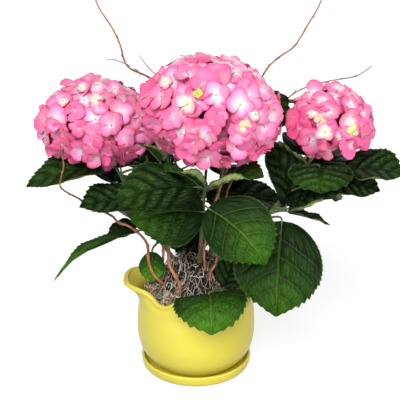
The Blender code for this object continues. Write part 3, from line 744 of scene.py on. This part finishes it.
# its finish: colours, relief (depth, strength), and ramps (from, to, value at from, value at to); shade,
# valley, crestLight, cellLight, newLeafLight and ridge paint light and shade, and the foot-to-tip ramp and
# rim partly so
leafSkin = dict(
    dark=(0.0040, 0.0120, 0.0035), fresh=(0.055, 0.185, 0.0095), vein=(0.115, 0.22, 0.035),
    under=(0.25, 0.32, 0.11), shade=(0.035, 0.070, 0.018), rim=(0.085, 0.17, 0.025),
    ridge=(0.075, 0.125, 0.030), driftColours=((0.75, 0.78, 0.70), (1.3, 1.22, 1.1)), drift=(14.0, 1.0),
    lateralLine=(0.015, 0.07, 1.0, 0.0), lateralFade=(0.75, 0.95, 1.0, 0.0),
    midribLine=(0.012, 0.04, 1.0, 0.0), cells=(34, 17, 1), cellSmooth=0.6, youthAndShade=(0.05, 1.0, 0.12, 1.35),
    valley=(0.10, 0.60, 0.58, 0.76), crestFrom=(0.0, 0.8), crestLight=1.14,
    cellLight=(0.10, 0.75, 1.22, 0.74), newLeafLight=(0.85, 1.0, 1.0, 1.45),
    ridgeCrest=(0.25, 0.9, 0.0, 1.0), ridgeCells=(0.15, 0.55, 1.0, 0.15),
    ridgeTone=(0.10, 0.36, 0.55, 0.10), veinTone=(0.20, 0.44, 0.05, 1.0), lateralShare=0.24,
    midribShare=0.45, rimLine=(0.95, 1.0, 0.0, 0.45), underFrom=(0.45, 0.80),
    roughness=(0.3, 0.7, 0.44, 0.60), specular=0.08, pucker=(0.0026, 0.75), relief=(0.0004, 0.4))


def leafMaterial():
    # colour and relief follow the blade's own two directions: u across it and v from vein to vein; the colour
    # also carries painted light and shade: darker at the foot, in the valleys, at the cell edges and in the
    # underside's middle, lighter on the crests, in the cell middles and on fresh leaves
    material, tree, shader = newMaterial("hydrangeaLeaf")
    soft = rampsOf(tree, leafSkin)
    uv = ownUv(tree)
    u, v, _ = split(tree, uv)
    across = calc(tree, "MULTIPLY_ADD", u, 2.0, -1.0)
    away = calc(tree, "ABSOLUTE", across)
    onLeft = times(tree, calc(tree, "LESS_THAN", across, 0.0), blade["stagger"])
    phase = calc(tree, "ADD", times(tree, v, blade["veinPairs"]), onLeft)
    near = calc(tree, "FRACT", calc(tree, "ADD", phase, 0.5))
    near = calc(tree, "ABSOLUTE", calc(tree, "SUBTRACT", near, 0.5))
    lateral = times(tree, soft(near, "lateralLine"), soft(away, "lateralFade"))
    midrib = soft(away, "midribLine")
    cells = cellular(tree, stretched(tree, uv, leafSkin["cells"]), 1.0,
                     {"Smoothness": leafSkin["cellSmooth"]}, feature="SMOOTH_F1")
    tone, crest = attribute(tree, "tone"), attribute(tree, "crest")
    drift, grain = mottled(tree, objectPlace(tree), *leafSkin["driftColours"], *leafSkin["drift"])
    # darker at the foot and fresher towards the tip: partly the leaf's own colour, partly painted shade from
    # the heads above the foot
    youthAndShade = times(tree, tone, soft(v, "youthAndShade"), clamp=True)
    colour = blend(tree, youthAndShade, leafSkin["dark"], leafSkin["fresh"])
    colour = blend(tree, 1.0, colour, drift, "MULTIPLY")
    # painted light and shade: lighter on the crests between the sunken veins and darker in the valleys, more
    # so on dark leaves; lighter in the middles of the vein cells and darker at their edges; fresh leaves
    # brighter, as if lit through
    relief = ramp(tree, crest, *leafSkin["crestFrom"], soft(tone, "valley"), leafSkin["crestLight"])
    light = times(tree, times(tree, soft(cells, "cellLight"), relief), soft(tone, "newLeafLight"))
    grey = put(tree, "ShaderNodeCombineColor", {0: light, 1: light, 2: light}).outputs[0]
    colour = blend(tree, 1.0, colour, grey, "MULTIPLY")
    # painted highlight: dark leaves take a paler green on the crests of their cells, where light catches the
    # ridges
    ridges = times(tree, soft(crest, "ridgeCrest"), soft(cells, "ridgeCells"))
    colour = blend(tree, times(tree, ridges, soft(tone, "ridgeTone")), colour, leafSkin["ridge"])
    shown = soft(tone, "veinTone")
    for line, share in ((lateral, leafSkin["lateralShare"]), (midrib, leafSkin["midribShare"])):
        colour = blend(tree, times(tree, times(tree, line, share), shown), colour, leafSkin["vein"])
    # a paler band along the margin: partly the leaf's own paler edge, partly painted highlight on the lit
    # teeth
    colour = blend(tree, soft(away, "rimLine"), colour, leafSkin["rim"])
    # underside: pale near the margin, and the shade colour, painted shade, towards its middle
    below = blend(tree, soft(away, "underFrom"), leafSkin["shade"], leafSkin["under"])
    pucker = bump(tree, times(tree, cells, -1.0), *leafSkin["pucker"])
    feed(tree, shader, {"Base Color": blend(tree, attribute(tree, "under"), colour, below),
                        "Roughness": soft(grain, "roughness"), "Specular IOR Level": leafSkin["specular"],
                        "Normal": bump(tree, grain, *leafSkin["relief"], pucker)})
    return material


def leafFrame(leaf, share):
    # midrib points, their direction, and the side and upward directions at shares of the blade's length;
    # the pitch goes from rise to droop along the midrib, and the blade is rolled about it
    heading, rise, droop, roll = np.radians(leaf[3:7])
    share = np.atleast_1d(np.asarray(share, float))
    flat = np.array([math.cos(heading), math.sin(heading), 0])
    up = np.array([0, 0, 1.0])
    steps = 16
    pitch = rise + (droop - rise) * (share[:, None] * (np.arange(steps) + 0.5) / steps) ** blade["bend"]
    step = leaf[7] * share / steps
    point = (np.array(leaf[:3]) + (step * np.cos(pitch).sum(1))[:, None] * flat
             + (step * np.sin(pitch).sum(1))[:, None] * up)
    pitch = (rise + (droop - rise) * share ** blade["bend"])[:, None]
    along = np.cos(pitch) * flat + np.sin(pitch) * up
    level = np.cross(up, flat)
    side = math.cos(roll) * level + math.sin(roll) * np.cross(along, level)
    return point, along, side, np.cross(along, side)


def veinShare(row, away):
    # rows run along the side veins: share of the length = row + sweep * away^1.25, fading out at both ends
    return row + blade["sweep"] * away ** 1.25 * (1 - np.exp(-row / 0.08)) * (1 - row ** 2)


def bladeRows(teeth):
    # rows that meet the margin at the foot, slope, tip and back of every tooth, none far from the next
    knots = (np.arange(teeth)[:, None] + np.array([0, 0.4, 0.78, 0.9])).ravel() / teeth
    fine = np.linspace(0, 1, 600)
    rows = np.append(np.interp(knots, veinShare(fine, 1.0), fine), 1.0)
    for _ in range(2):
        middle = ((rows[1:] + rows[:-1]) / 2)[np.diff(rows) > blade["rowGap"]]
        rows = np.sort(np.append(rows, middle))
    return rows[:, None]


def bladeShape(leaf, dice):
    # widest short of the middle: half width = reach * s^.5 * (1 - s^2.2)^.9, with forward teeth on its
    # margin and a folded section; the lamina is puffed up between sunken veins, and past edgeFrom it
    # rolls up round an arc: edgeRadius / roll * (sin a, 1 - cos a)
    length, width, tone, rollLeft, rollRight = leaf[7:12]
    teeth = int(np.clip(length / blade["toothEvery"], *blade["teeth"]))
    size = min(1, max(length, width) / blade["fullSize"])
    rows = bladeRows(teeth)
    away = np.array(blade["columns"])
    c = np.concatenate([-away[:0:-1], away])[None, :]
    away = np.abs(c)
    share = veinShare(rows, away)
    atMargin = share[:, -1:]
    jitter = dice.uniform(0.4, 1.3, teeth + 1)[np.minimum(atMargin * teeth, teeth).astype(int)]
    envelope = np.clip((atMargin - 0.05) / 0.15, 0, 1) * np.clip((1.02 - atMargin) / 0.15, 0.25, 1)
    tooth = (np.interp((atMargin * teeth) % 1, [0, 0.4, 0.78, 0.9, 1], [0, 0.51, 1, 0.5, 0])
             * envelope * size * jitter)
    jag = blade["toothDepth"] * (tooth - 0.5 * envelope * size)
    outline = share ** 0.5 * np.maximum(1 - share ** 2.2, 0) ** 0.9 / 0.5675 * (1 - 0.4 * share ** 9)
    r = np.maximum(0.5 * width * outline, 0.5)
    point, along, side, above = (v.reshape(*share.shape, 3) for v in leafFrame(leaf, share.ravel()))

    def patchy(across, down, third):
        # soft noise over this blade's own plane
        where = np.stack(np.broadcast_arrays(c * across, share * down, third), -1)
        return smoothNoise(where, 1.0, int(dice.integers(99)))

    uneven = 0.75 + 0.35 * patchy(2.5, 7, 9 * tone)
    cover = np.clip(away / 0.16, 0, 1) * (1 - away ** 6) * np.clip(r / (0.3 * width), 0, 1)
    phase = rows * blade["veinPairs"] + blade["stagger"] * (c < 0)
    crest = (np.sqrt(np.sin(math.pi * phase) ** 2 + 0.03) - 0.173) / 0.84
    puff = blade["puff"] * (1.25 - 1.5 * min(tone, 0.5)) * size * (crest - 0.5) * cover * uneven
    valley = np.exp(-(c * r / 2.0) ** 2) * np.clip(r / 8, 0, 1)
    turns, start = dice.uniform(1.4, 2.6, 2), dice.uniform(0, 2 * math.pi, 2)
    pick = (c > 0).astype(int)
    wave = (blade["wave"] * size * away ** 2.5 * envelope
            * np.sin(2 * math.pi * turns[pick] * share + start[pick]))
    drift = blade["drift"] * size * patchy(2, 4, tone)
    roll = np.where(c > 0, rollLeft, rollRight) * np.clip((1.02 - share) / 0.25, 0.15, 1)
    jag, tooth = jag * (1 - 0.7 * roll), tooth * (1 - 0.8 * roll)
    distance = np.maximum(r * away + jag * away ** 6, 0)
    straight = np.minimum(distance, (blade["edgeFrom"] - 0.16 * roll) * r)
    bendRadius = blade["edgeRadius"] / np.maximum(roll, 0.02)
    angle = (distance - straight) / bendRadius
    reach = np.sign(c) * (straight + bendRadius * np.sin(angle)) * math.cos(blade["fold"])
    lift = (distance * math.sin(blade["fold"]) - blade["curl"] * r * away ** 2
            + bendRadius * (1 - np.cos(angle)) + puff - blade["groove"] * size * valley + wave + drift * away)
    forward = blade["toothForward"] * tooth * away ** 8
    points = point + reach[..., None] * side + lift[..., None] * above + forward[..., None] * along
    normals = unit(np.cross(np.gradient(points, axis=0), np.gradient(points, axis=1)))
    uv = np.stack(np.broadcast_arrays((c + 1) / 2, rows), -1)
    # crest runs from 0 in the sunken veins and the midrib's groove to 1 on the puffs; the material paints
    # light and shade from it
    crest = (1 - cover) * 0.45 + cover * crest - 0.3 * valley
    return sheets(points[None] * mm, normals[None], blade["thickness"] * mm, uv=uv, crest=crest, tone=[tone])


def petiolePath(cane, leaf):
    # leaves the stem where it is nearest, climbs away from it, and runs into the foot of the midrib
    foot, along = (v[0] for v in leafFrame(leaf, 0.0)[:2])
    shares = cane["leafy"] + 0.02 + (0.97 - cane["leafy"]) * np.arange(21) / 20
    stem = canePoint(cane, shares) / mm
    distance = np.linalg.norm(stem - foot, axis=1)
    miss = distance + 1.5 * np.abs(foot[2] - stem[:, 2] - limb["petioleRise"] * distance)
    start = stem[np.argmin(miss)]
    reach = np.linalg.norm(foot - start)
    upward = unit(unit(foot - start) + np.array([0, 0, limb["petioleRise"]]))
    curve = bezier(np.linspace(0, 1, 15)[:, None], start, start + 0.4 * reach * upward,
                   foot - 0.3 * reach * along, foot)
    point, _, _, above = leafFrame(leaf, limb["ribAt"])
    return np.concatenate([curve, point - above * limb["ribSunk"]])


def leafRows(name, cane):
    # the placed blades, then the seeded ones at the back
    rows = list(leaves.get(name, ()))
    for k, (share, heading) in enumerate(backLeaves.get(name, ())):
        dice = np.random.default_rng([seed, k, len(name)])
        turn = heading + dice.uniform(-1, 1) * backLeaf["spread"]
        size = dice.uniform(*backLeaf["size"])
        out = np.array([math.cos(math.radians(turn)), math.sin(math.radians(turn)), backLeaf["petioleRise"]])
        foot = canePoint(cane, share)[0] / mm + out * backLeaf["petiole"]
        pitches = [low + (high - low) * share + dice.uniform(-1, 1) * backLeaf["pitchSpread"]
                   for low, high in (backLeaf["rise"], backLeaf["droop"])]
        rows.append((*foot, turn, *pitches, dice.uniform(-1, 1) * backLeaf["roll"], backLeaf["length"] * size,
                     backLeaf["width"] * size, *dice.uniform(*backLeaf["looks"], 3)))
    return rows


def makeLeaves():
    # one piece of blades for each cane, and all petioles with their midribs in one
    material = leafMaterial()
    petioles = []
    for number, (name, cane) in enumerate(canes.items()):
        dice = np.random.default_rng([seed, 50, number])
        rows = leafRows(name, cane)
        label = "leaves" + "".join(word.capitalize() for word in name.split("_"))
        addPiece(label, join([bladeShape(leaf, dice) for leaf in rows]), material, "leaves_" + name,
                 slot="leaf", sharpAt=60)
        petioles += [petiolePath(cane, leaf) for leaf in rows]
    petioles = np.array(petioles)
    ribs = limb["ribRadius"]
    thick = np.append(np.linspace(*limb["petioleRadius"], petioles.shape[1] - len(ribs)), ribs) * mm
    thick[0] *= limb["petioleBase"]
    addPiece("petioles", tubes(petioles * mm, np.broadcast_to(thick, petioles.shape[:2]), 10),
             stemMaterial("petioleSkin", skin["pale"], skin["green"], 0.42), slot="leaf")


print("unfolding the leaves")
makeLeaves()


# flower heads

# centre and half sizes (mm), tilt about Y (degrees), florets, how much deeper its pink is, and the young
# cream ones: direction from the centre, size as a share, and how green
heads = {
    "left": dict(centre=(-140, 20, 374), size=(82, 71, 57), tilt=0, count=100, blush=-0.15,
                 young=((-0.18, -0.44, 0.88, 0.55, 0.3), (0.05, -0.71, 0.70, 0.60, 0.5),
                        (-0.47, -0.62, 0.63, 0.50, 0.2))),
    "centre": dict(centre=(21, -45, 402), size=(92, 85, 73), tilt=9, count=140, blush=0.0,
                   young=((-0.36, -0.88, 0.30, 0.95, 0.1), (-0.25, -0.84, 0.49, 0.45, 1.0),
                          (0.42, -0.90, 0.10, 0.50, 0.7), (-0.69, -0.50, 0.51, 0.60, 0.3),
                          (0.10, -0.36, 0.93, 0.55, 0.3), (0.54, -0.80, 0.28, 0.60, 0.2))),
    "right": dict(centre=(189, 0, 378), size=(57, 57, 49), tilt=0, count=57, blush=0.50,
                  young=((-0.35, -0.89, 0.30, 0.60, 0.6), (-0.26, -0.97, 0.01, 0.75, 0.1),
                         (0.35, -0.94, 0.00, 0.55, 0.8), (-0.53, -0.73, 0.44, 0.60, 0.4))),
}
floret = dict(
    size=(14.5, 21.0), youngSize=16, youngLift=4.5, lean=27, depth=4.0, downTo=0.80, inner=0.38,
    innerAt=0.86, spread=math.radians(61), rows=(0.06, 0.34, 0.64, 0.88, 1.0), columns=7,
    cup=(-0.20, 0.30), frontCup=0.20, sway=0.12, thickness=0.5, bead=1.2, beadLength=2.1,
    beadShape=(0.7, 1.0, 1.1, 0.9, 0.45), pedicel=(0.9, 0.6), pedicelBack=14, stalk=(1.9, 3.2),
    innerShade=0.70)
# its finish: colours, and ramps (from, to, value at from, value at to) from the eye, 0, to the edge, 1
sepalSkin = dict(
    pink=(0.93, 0.145, 0.36), deep=(0.86, 0.065, 0.24), heart=(0.97, 0.90, 0.94),
    # gap: painted shade for the inner florets in the hollows of the head
    lilac=(0.96, 0.44, 0.70), gap=(0.50, 0.035, 0.14), salmon=(0.95, 0.36, 0.42),
    cream=(0.94, 0.88, 0.66), green=(0.60, 0.64, 0.14),
    driftColours=((1.0, 1.0, 1.0), (0.95, 0.70, 0.82)), drift=(60.0, 0.9), salmonScale=42.0,
    salmonPatch=(0.50, 0.68, 0.0, 0.55), outerHalf=(0.50, 1.0, 0.0, 0.65), edge=(0.80, 1.0, 0.0, 0.90),
    heartReach=(0.42, 0.24), heartShare=(0.68, 0.26), creamGreen=(0.5, 1.0),
    creamAlong=(0.30, 0.95, 1.0, 0.15), creamFull=(0.4, 0.9), creamFrom=(0.05, 0.25), veinScale=7.0,
    veinLine=(0.7, 1.0, 0.0, 0.16), roughness=0.55, subsurface=0.22,
    subsurfaceRadius=(0.004, 0.0012, 0.002), sheen=0.15, relief=(0.0005, 0.5))
eye = dict(
    dark=(0.50, 0.42, 0.54), light=(0.72, 0.72, 0.58), spot=(0.20, 0.14, 0.22), spotScale=1800.0,
    spots=(0.5, 0.7, 0.0, 0.6), roughness=0.5, pedicel=((0.22, 0.33, 0.09), (0.50, 0.20, 0.16), 0.5))


def sepalMaterial():
    # pink that pales to the heart and deepens to the edge, the deep edge partly painted shade where sepals
    # overlap; pale, deep, cream and inside vary by sepal, and inside lays painted shade on the inner florets
    material, tree, shader = newMaterial("pinkSepal")
    soft = rampsOf(tree, sepalSkin)
    uv, place = ownUv(tree), objectPlace(tree)
    along = split(tree, uv)[1]
    pale, deep, cream = (attribute(tree, key) for key in ("pale", "deep", "cream"))
    body = blend(tree, calc(tree, "MAXIMUM", pale, 0.0), sepalSkin["pink"], sepalSkin["lilac"])
    body = blend(tree, calc(tree, "MAXIMUM", deep, 0.0), body, sepalSkin["deep"])
    drift, grain = mottled(tree, place, *sepalSkin["driftColours"], *sepalSkin["drift"])
    body = blend(tree, 1.0, body, drift, "MULTIPLY")
    patches = noise(tree, place, sepalSkin["salmonScale"], 1.0)
    # salmon patches at random, pink over the outer half, and deep pink at the very edge; the deep edge is
    # partly the sepal's own deeper margin and partly a painted shade line where sepals overlap
    for share, colour in ((soft(patches, "salmonPatch"), "salmon"), (soft(along, "outerHalf"), "pink"),
                          (soft(along, "edge"), "deep")):
        body = blend(tree, share, body, sepalSkin[colour])
    reach = calc(tree, "MULTIPLY_ADD", pale, *sepalSkin["heartReach"])
    heart = times(tree, ramp(tree, along, 0.03, reach, 1.0, 0.0),
                  calc(tree, "MULTIPLY_ADD", pale, *sepalSkin["heartShare"], clamp=True))
    colour = blend(tree, heart, body, sepalSkin["heart"])
    old = blend(tree, soft(cream, "creamGreen"), sepalSkin["cream"], sepalSkin["green"])
    kept = calc(tree, "MAXIMUM", soft(along, "creamAlong"), soft(cream, "creamFull"))
    colour = blend(tree, times(tree, soft(cream, "creamFrom"), kept), colour, old)
    # the inner florets take the gap colour: painted shade in the hollows between the outer florets
    colour = blend(tree, attribute(tree, "inside"), colour, sepalSkin["gap"])
    wave = put(tree, "ShaderNodeTexWave", wave_type="BANDS", bands_direction="X")
    feed(tree, wave, {"Vector": uv, "Scale": sepalSkin["veinScale"], "Distortion": 2.0, "Detail": 2.0})
    veins = wave.outputs["Fac"]
    colour = blend(tree, soft(veins, "veinLine"), colour, sepalSkin["deep"])
    height = calc(tree, "ADD", times(tree, veins, 0.5), times(tree, grain, 0.4))
    feed(tree, shader, {"Base Color": colour, "Roughness": sepalSkin["roughness"],
                        "Subsurface Weight": sepalSkin["subsurface"], "Subsurface Scale": 1.0,
                        "Subsurface Radius": sepalSkin["subsurfaceRadius"],
                        "Sheen Weight": sepalSkin["sheen"],
                        "Normal": bump(tree, height, *sepalSkin["relief"])})
    return material


def eyeMaterial():
    # lilac to cream beads with dark spots
    material, tree, shader = newMaterial("floretEye")
    colour = blend(tree, attribute(tree, "tone"), eye["dark"], eye["light"])
    spots = ramp(tree, noise(tree, objectPlace(tree), eye["spotScale"], 1.0), *eye["spots"])
    feed(tree, shader, {"Base Color": blend(tree, spots, colour, eye["spot"]), "Roughness": eye["roughness"]})
    return material


def onHead(head, direction, share):
    # point and outward direction on the tilted ellipsoid, scaled by the share
    tilt, size = math.radians(head["tilt"]), np.array(head["size"])
    axes = np.array([[math.cos(tilt), 0, -math.sin(tilt)], [0, 1, 0], [math.sin(tilt), 0, math.cos(tilt)]])
    return np.array(head["centre"]) + (share * direction * size) @ axes, unit((direction / size) @ axes)


def placeFlorets(head, dice, count, share):
    # golden-angle spiral over the head, from its top down to below its middle
    k = np.arange(count)
    height = 1 - (k + 0.5) * (1 + floret["downTo"]) / count
    angle = math.pi * (3 - math.sqrt(5)) * k + dice.uniform(-0.15, 0.15, count)
    ring = np.sqrt(1 - height ** 2)
    direction = np.stack([ring * np.cos(angle), ring * np.sin(angle), height], -1)
    spot, outward = onHead(head, direction, share)
    return direction, spot + outward * dice.uniform(-1, 0.6, count)[:, None] * floret["depth"], outward


def sepalShapes(spot, normal, spin, size, cup, dice, **values):
    # each sepal is a fan: angle = u * spread and radius = v * size, rounded at its corners, cupped by
    # cup * v^2, tucked under its neighbour on one side and ruffled along its margin
    count = len(spot) * 4

    def each(values):
        # one value for each sepal, along its grid
        return values[:, None, None]

    turn = (np.repeat(spin, 4) + np.tile(np.arange(4) * math.pi / 2, len(spot))
            + dice.uniform(-0.12, 0.12, count))
    spot, normal, cup = (np.repeat(a, 4, axis=0) for a in (spot, normal, cup))
    length = each(np.repeat(size, 4) * dice.uniform(0.86, 1.12, count))
    across = sideOf(normal)
    third = np.cross(normal, across)
    v = np.array(floret["rows"])[None, :, None]
    u = np.linspace(-1, 1, floret["columns"])[None, None, :]
    spread = floret["spread"] * each(dice.uniform(0.90, 1.08, count))
    wave, waves = (each(a) for a in dice.uniform(0, 2 * math.pi, (2, count)))
    notch = each(dice.uniform(-0.05, 0.05, count))
    fan = each(turn) + u * spread * (1 - 0.18 * v ** 3)
    point = each(dice.uniform(-0.04, 0.13, count)) * (1 - np.abs(u)) ** 1.5 * v ** 3
    radius = length * v * (1 - 0.13 * u ** 4 * v ** 2 - 0.08 * u ** 2 * v + notch * (u == 0) * (v == 1)
                           + point + 0.04 * v ** 3 * np.sin(5 * u + waves))
    ruffle = (0.10 * v ** 2 * np.abs(u) * np.sin(6.2 * v + wave + 1.5 * u)
              + 0.07 * v ** 3 * np.sin(4 * u + waves))
    crease, creases = (each(a) for a in dice.uniform(-0.09, 0.09, (2, count)))
    folds = crease * v * np.cos(2.6 * u + wave) + creases * v ** 2 * np.sin(2.2 * u + 3 * v + waves)
    tilt = each(dice.normal(0, floret["sway"], count)) * v
    lift = length * (each(cup) * v ** 2 - 0.10 * v ** 4 + 0.09 * u * v ** 0.7 - 0.07 * u ** 2 * v
                     + ruffle + folds + tilt)
    points = each(spot) + sum(part[..., None] * each(way) for part, way in
                              ((radius * np.cos(fan), across), (radius * np.sin(fan), third), (lift, normal)))
    above = np.broadcast_to(each(normal), points.shape)
    uv = np.stack(np.broadcast_arrays((u + 1) / 2, v), -1)
    values = {key: np.repeat(value, 4) + vary * dice.normal(0, 1, count)
              for key, (value, vary) in values.items()}
    return sheets(points * mm, above, floret["thickness"] * mm, uv=uv, **values)


def makeHead(name, material, number):
    # an outer layer of florets, an inner one that closes the gaps, and the young ones on top; each
    # leans a little away from straight out, and each hangs on a thin stalk from the main one
    head = heads[name]
    dice = np.random.default_rng([seed, 60, number])
    shapes, beads, stalks = [], [], []
    tip, below = canePoint(canes[name], [1.0, 0.96]) / mm
    low = onHead(head, np.array([0, 0, -1.0]), 0.6)[0]
    young = np.array(head["young"])
    for layer, count, share in (("outer", head["count"], 1.0),
                                ("inner", int(floret["inner"] * head["count"]), floret["innerAt"]),
                                ("young", len(young), 1.0)):
        if layer == "young":
            direction = unit(young[:, :3])
            spot, outward = onHead(head, direction, share)
            spot = spot + outward * floret["youngLift"]
            size, cream = young[:, 3] * floret["youngSize"], 0.25 + 0.75 * young[:, 4]
        else:
            direction, spot, outward = placeFlorets(head, dice, count, share)
            size, cream = dice.uniform(*floret["size"], count), np.zeros(count)
        y, z = direction[:, 1], direction[:, 2]
        lean = np.radians(floret["lean"]) * dice.uniform(-0.75, 0.75, (count, 3))
        lean = lean * np.where(outward[:, 1:2] > -0.40, 0.45, 1.0)
        facing = np.where(outward[:, 1:2] < 0.3, 0.30, 0.0) * np.array([[0, -1.0, 0.25]])
        normal = unit(outward + lean + facing)
        # pale florets gather where the head faces the front and top, deep ones on its sides and underside:
        # partly each floret's own colour at random, partly painted light and painted shade
        front = np.clip(-y * 0.65 + z * 0.75 + 0.15, 0, 1)
        pale = np.clip(front * dice.uniform(0.1, 1.7, count), 0, 1)
        deep = np.clip(dice.uniform(-0.4, 0.6, count) + 0.4 * (1 - front) + 0.3 * np.clip(-z, 0, 1), 0, 1)
        spin = dice.uniform(0, math.pi, count)
        cup = dice.uniform(*floret["cup"], count) - floret["frontCup"] * (outward[:, 1] > -0.35)
        # the inner layer carries its share of painted shade for the hollows
        inside = np.full(count, floret["innerShade"] * (layer == "inner"))
        deep = deep * (1 - pale) + head["blush"]
        shapes.append(sepalShapes(spot, normal, spin, size, cup, dice, pale=(pale, 0.16), deep=(deep, 0.12),
                                  cream=(cream, 0.0), inside=(inside, 0.0)))
        bead = floret["bead"] * (0.6 + 0.4 * size / floret["size"][1])[:, None]
        rise = floret["beadLength"] * bead * np.linspace(0, 1, 5) - 0.3
        rod = spot[:, None] + normal[:, None] * rise[..., None]
        thick = bead * np.array(floret["beadShape"])
        beads.append(tubes(rod * mm, thick * mm, 7, tone=dice.uniform(0, 1, count)))
        fork = low + (spot - low)[:, None] * 0.12
        back = (spot - normal * floret["pedicelBack"])[:, None]
        path = bezier(np.linspace(0, 1, 8)[None, :, None], low, fork, back, spot[:, None])
        thick = np.broadcast_to(np.linspace(*floret["pedicel"], 8), (count, 8))
        stalks.append(tubes(path * mm, thick * mm, 5))
    addPiece("bloom" + name.capitalize(), join(shapes), material, "bloom_" + name, slot="bloom", sharpAt=75)
    along = unit(tip - below)
    main = bezier(np.linspace(0, 1, 12)[:, None], tip - along * 3, tip + along * 18, low)
    stalks.append(tubes(main[None] * mm, np.linspace(*floret["stalk"], 12)[None] * mm, 10))
    return join(beads), join(stalks)


def makeHeads():
    # the three heads, and one piece each for all their eyes and all their stalks
    material = sepalMaterial()
    made = [makeHead(name, material, number) for number, name in enumerate(heads)]
    beads, stalks = (join(parts) for parts in zip(*made))
    addPiece("floretEyes", beads, eyeMaterial(), slot="bloom")
    addPiece("pedicels", stalks, stemMaterial("pedicelSkin", *eye["pedicel"]), slot="bloom")


print("opening the flower heads")
makeHeads()


# floor, light and camera

studio = dict(
    floor=60.0, white=0.26, floorRoughness=0.9, glow=0.78, world=0.18, sunPower=3.6,
    sunSoftness=math.radians(34), sunFrom=(-0.22, -0.90, 0.74), aim=(0, 0, 0.28),
    target=(0.006, 0.0, 0.262), elevation=math.radians(19), distance=1.20, lens=74.5, sensor=36)
lamps = {      # place, diameter (m) and power (W) of each round lamp
    "frontFill": ((1.25, -1.15, 0.35), 0.8, 14),
    "lowFill": ((-1.00, -1.35, 0.12), 0.8, 6.5),
    "backFill": ((0.3, 1.9, 1.1), 1.6, 16),
}


def makeFloor():
    # glows a little, so that it stays pale under the plant, but doesn't light the undersides of the leaves
    half = studio["floor"] / 2
    mesh = bpy.data.meshes.new("paleFloor")
    corners = [(-half, -half, 0), (half, -half, 0), (half, half, 0), (-half, half, 0)]
    mesh.from_pydata(corners, [], [(0, 1, 2, 3)])
    floor = addObject("paleFloor", mesh)
    floor.visible_diffuse = False
    material, tree, shader = newMaterial("palePaper")
    feed(tree, shader, {"Base Color": (studio["white"],) * 3, "Roughness": studio["floorRoughness"],
                        "Specular IOR Level": 0.0, "Emission Color": (1, 1, 1),
                        "Emission Strength": studio["glow"]})
    mesh.materials.append(material)


def placeAimed(name, data, place, aim):
    # the object looks from its place along its own -Z towards the aim
    thing = addObject(name, data)
    thing.location = place
    thing.rotation_euler = (Vector(aim) - Vector(place)).to_track_quat("-Z", "Y").to_euler()
    return thing


def addLights():
    # a wide soft sun, the lamps and a dim white sky
    sun = bpy.data.lights.new("softSun", "SUN")
    sun.energy, sun.angle = studio["sunPower"], studio["sunSoftness"]
    placeAimed("softSun", sun, studio["sunFrom"], (0, 0, 0))
    for name, (place, size, power) in lamps.items():
        data = bpy.data.lights.new(name, "AREA")
        data.shape, data.size, data.energy = "DISK", size, power
        placeAimed(name, data, place, studio["aim"])
    world = bpy.data.worlds.new("paleSky")
    world.use_nodes = True
    feed(world.node_tree, world.node_tree.nodes["Background"],
         {"Color": (1, 1, 1), "Strength": studio["world"]})
    bpy.context.scene.world = world


def makeCamera():
    # stands at the distance from the target, above it by the elevation
    data = bpy.data.cameras.new("camera")
    data.lens, data.sensor_width = studio["lens"], studio["sensor"]
    (x, y, z), distance, rise = studio["target"], studio["distance"], studio["elevation"]
    place = (x, y - distance * math.cos(rise), z + distance * math.sin(rise))
    bpy.context.scene.camera = placeAimed("camera", data, place, studio["target"])


print("lighting the studio")
makeFloor()
makeCamera()
addLights()
bpy.context.scene.view_settings.view_transform = "Standard"
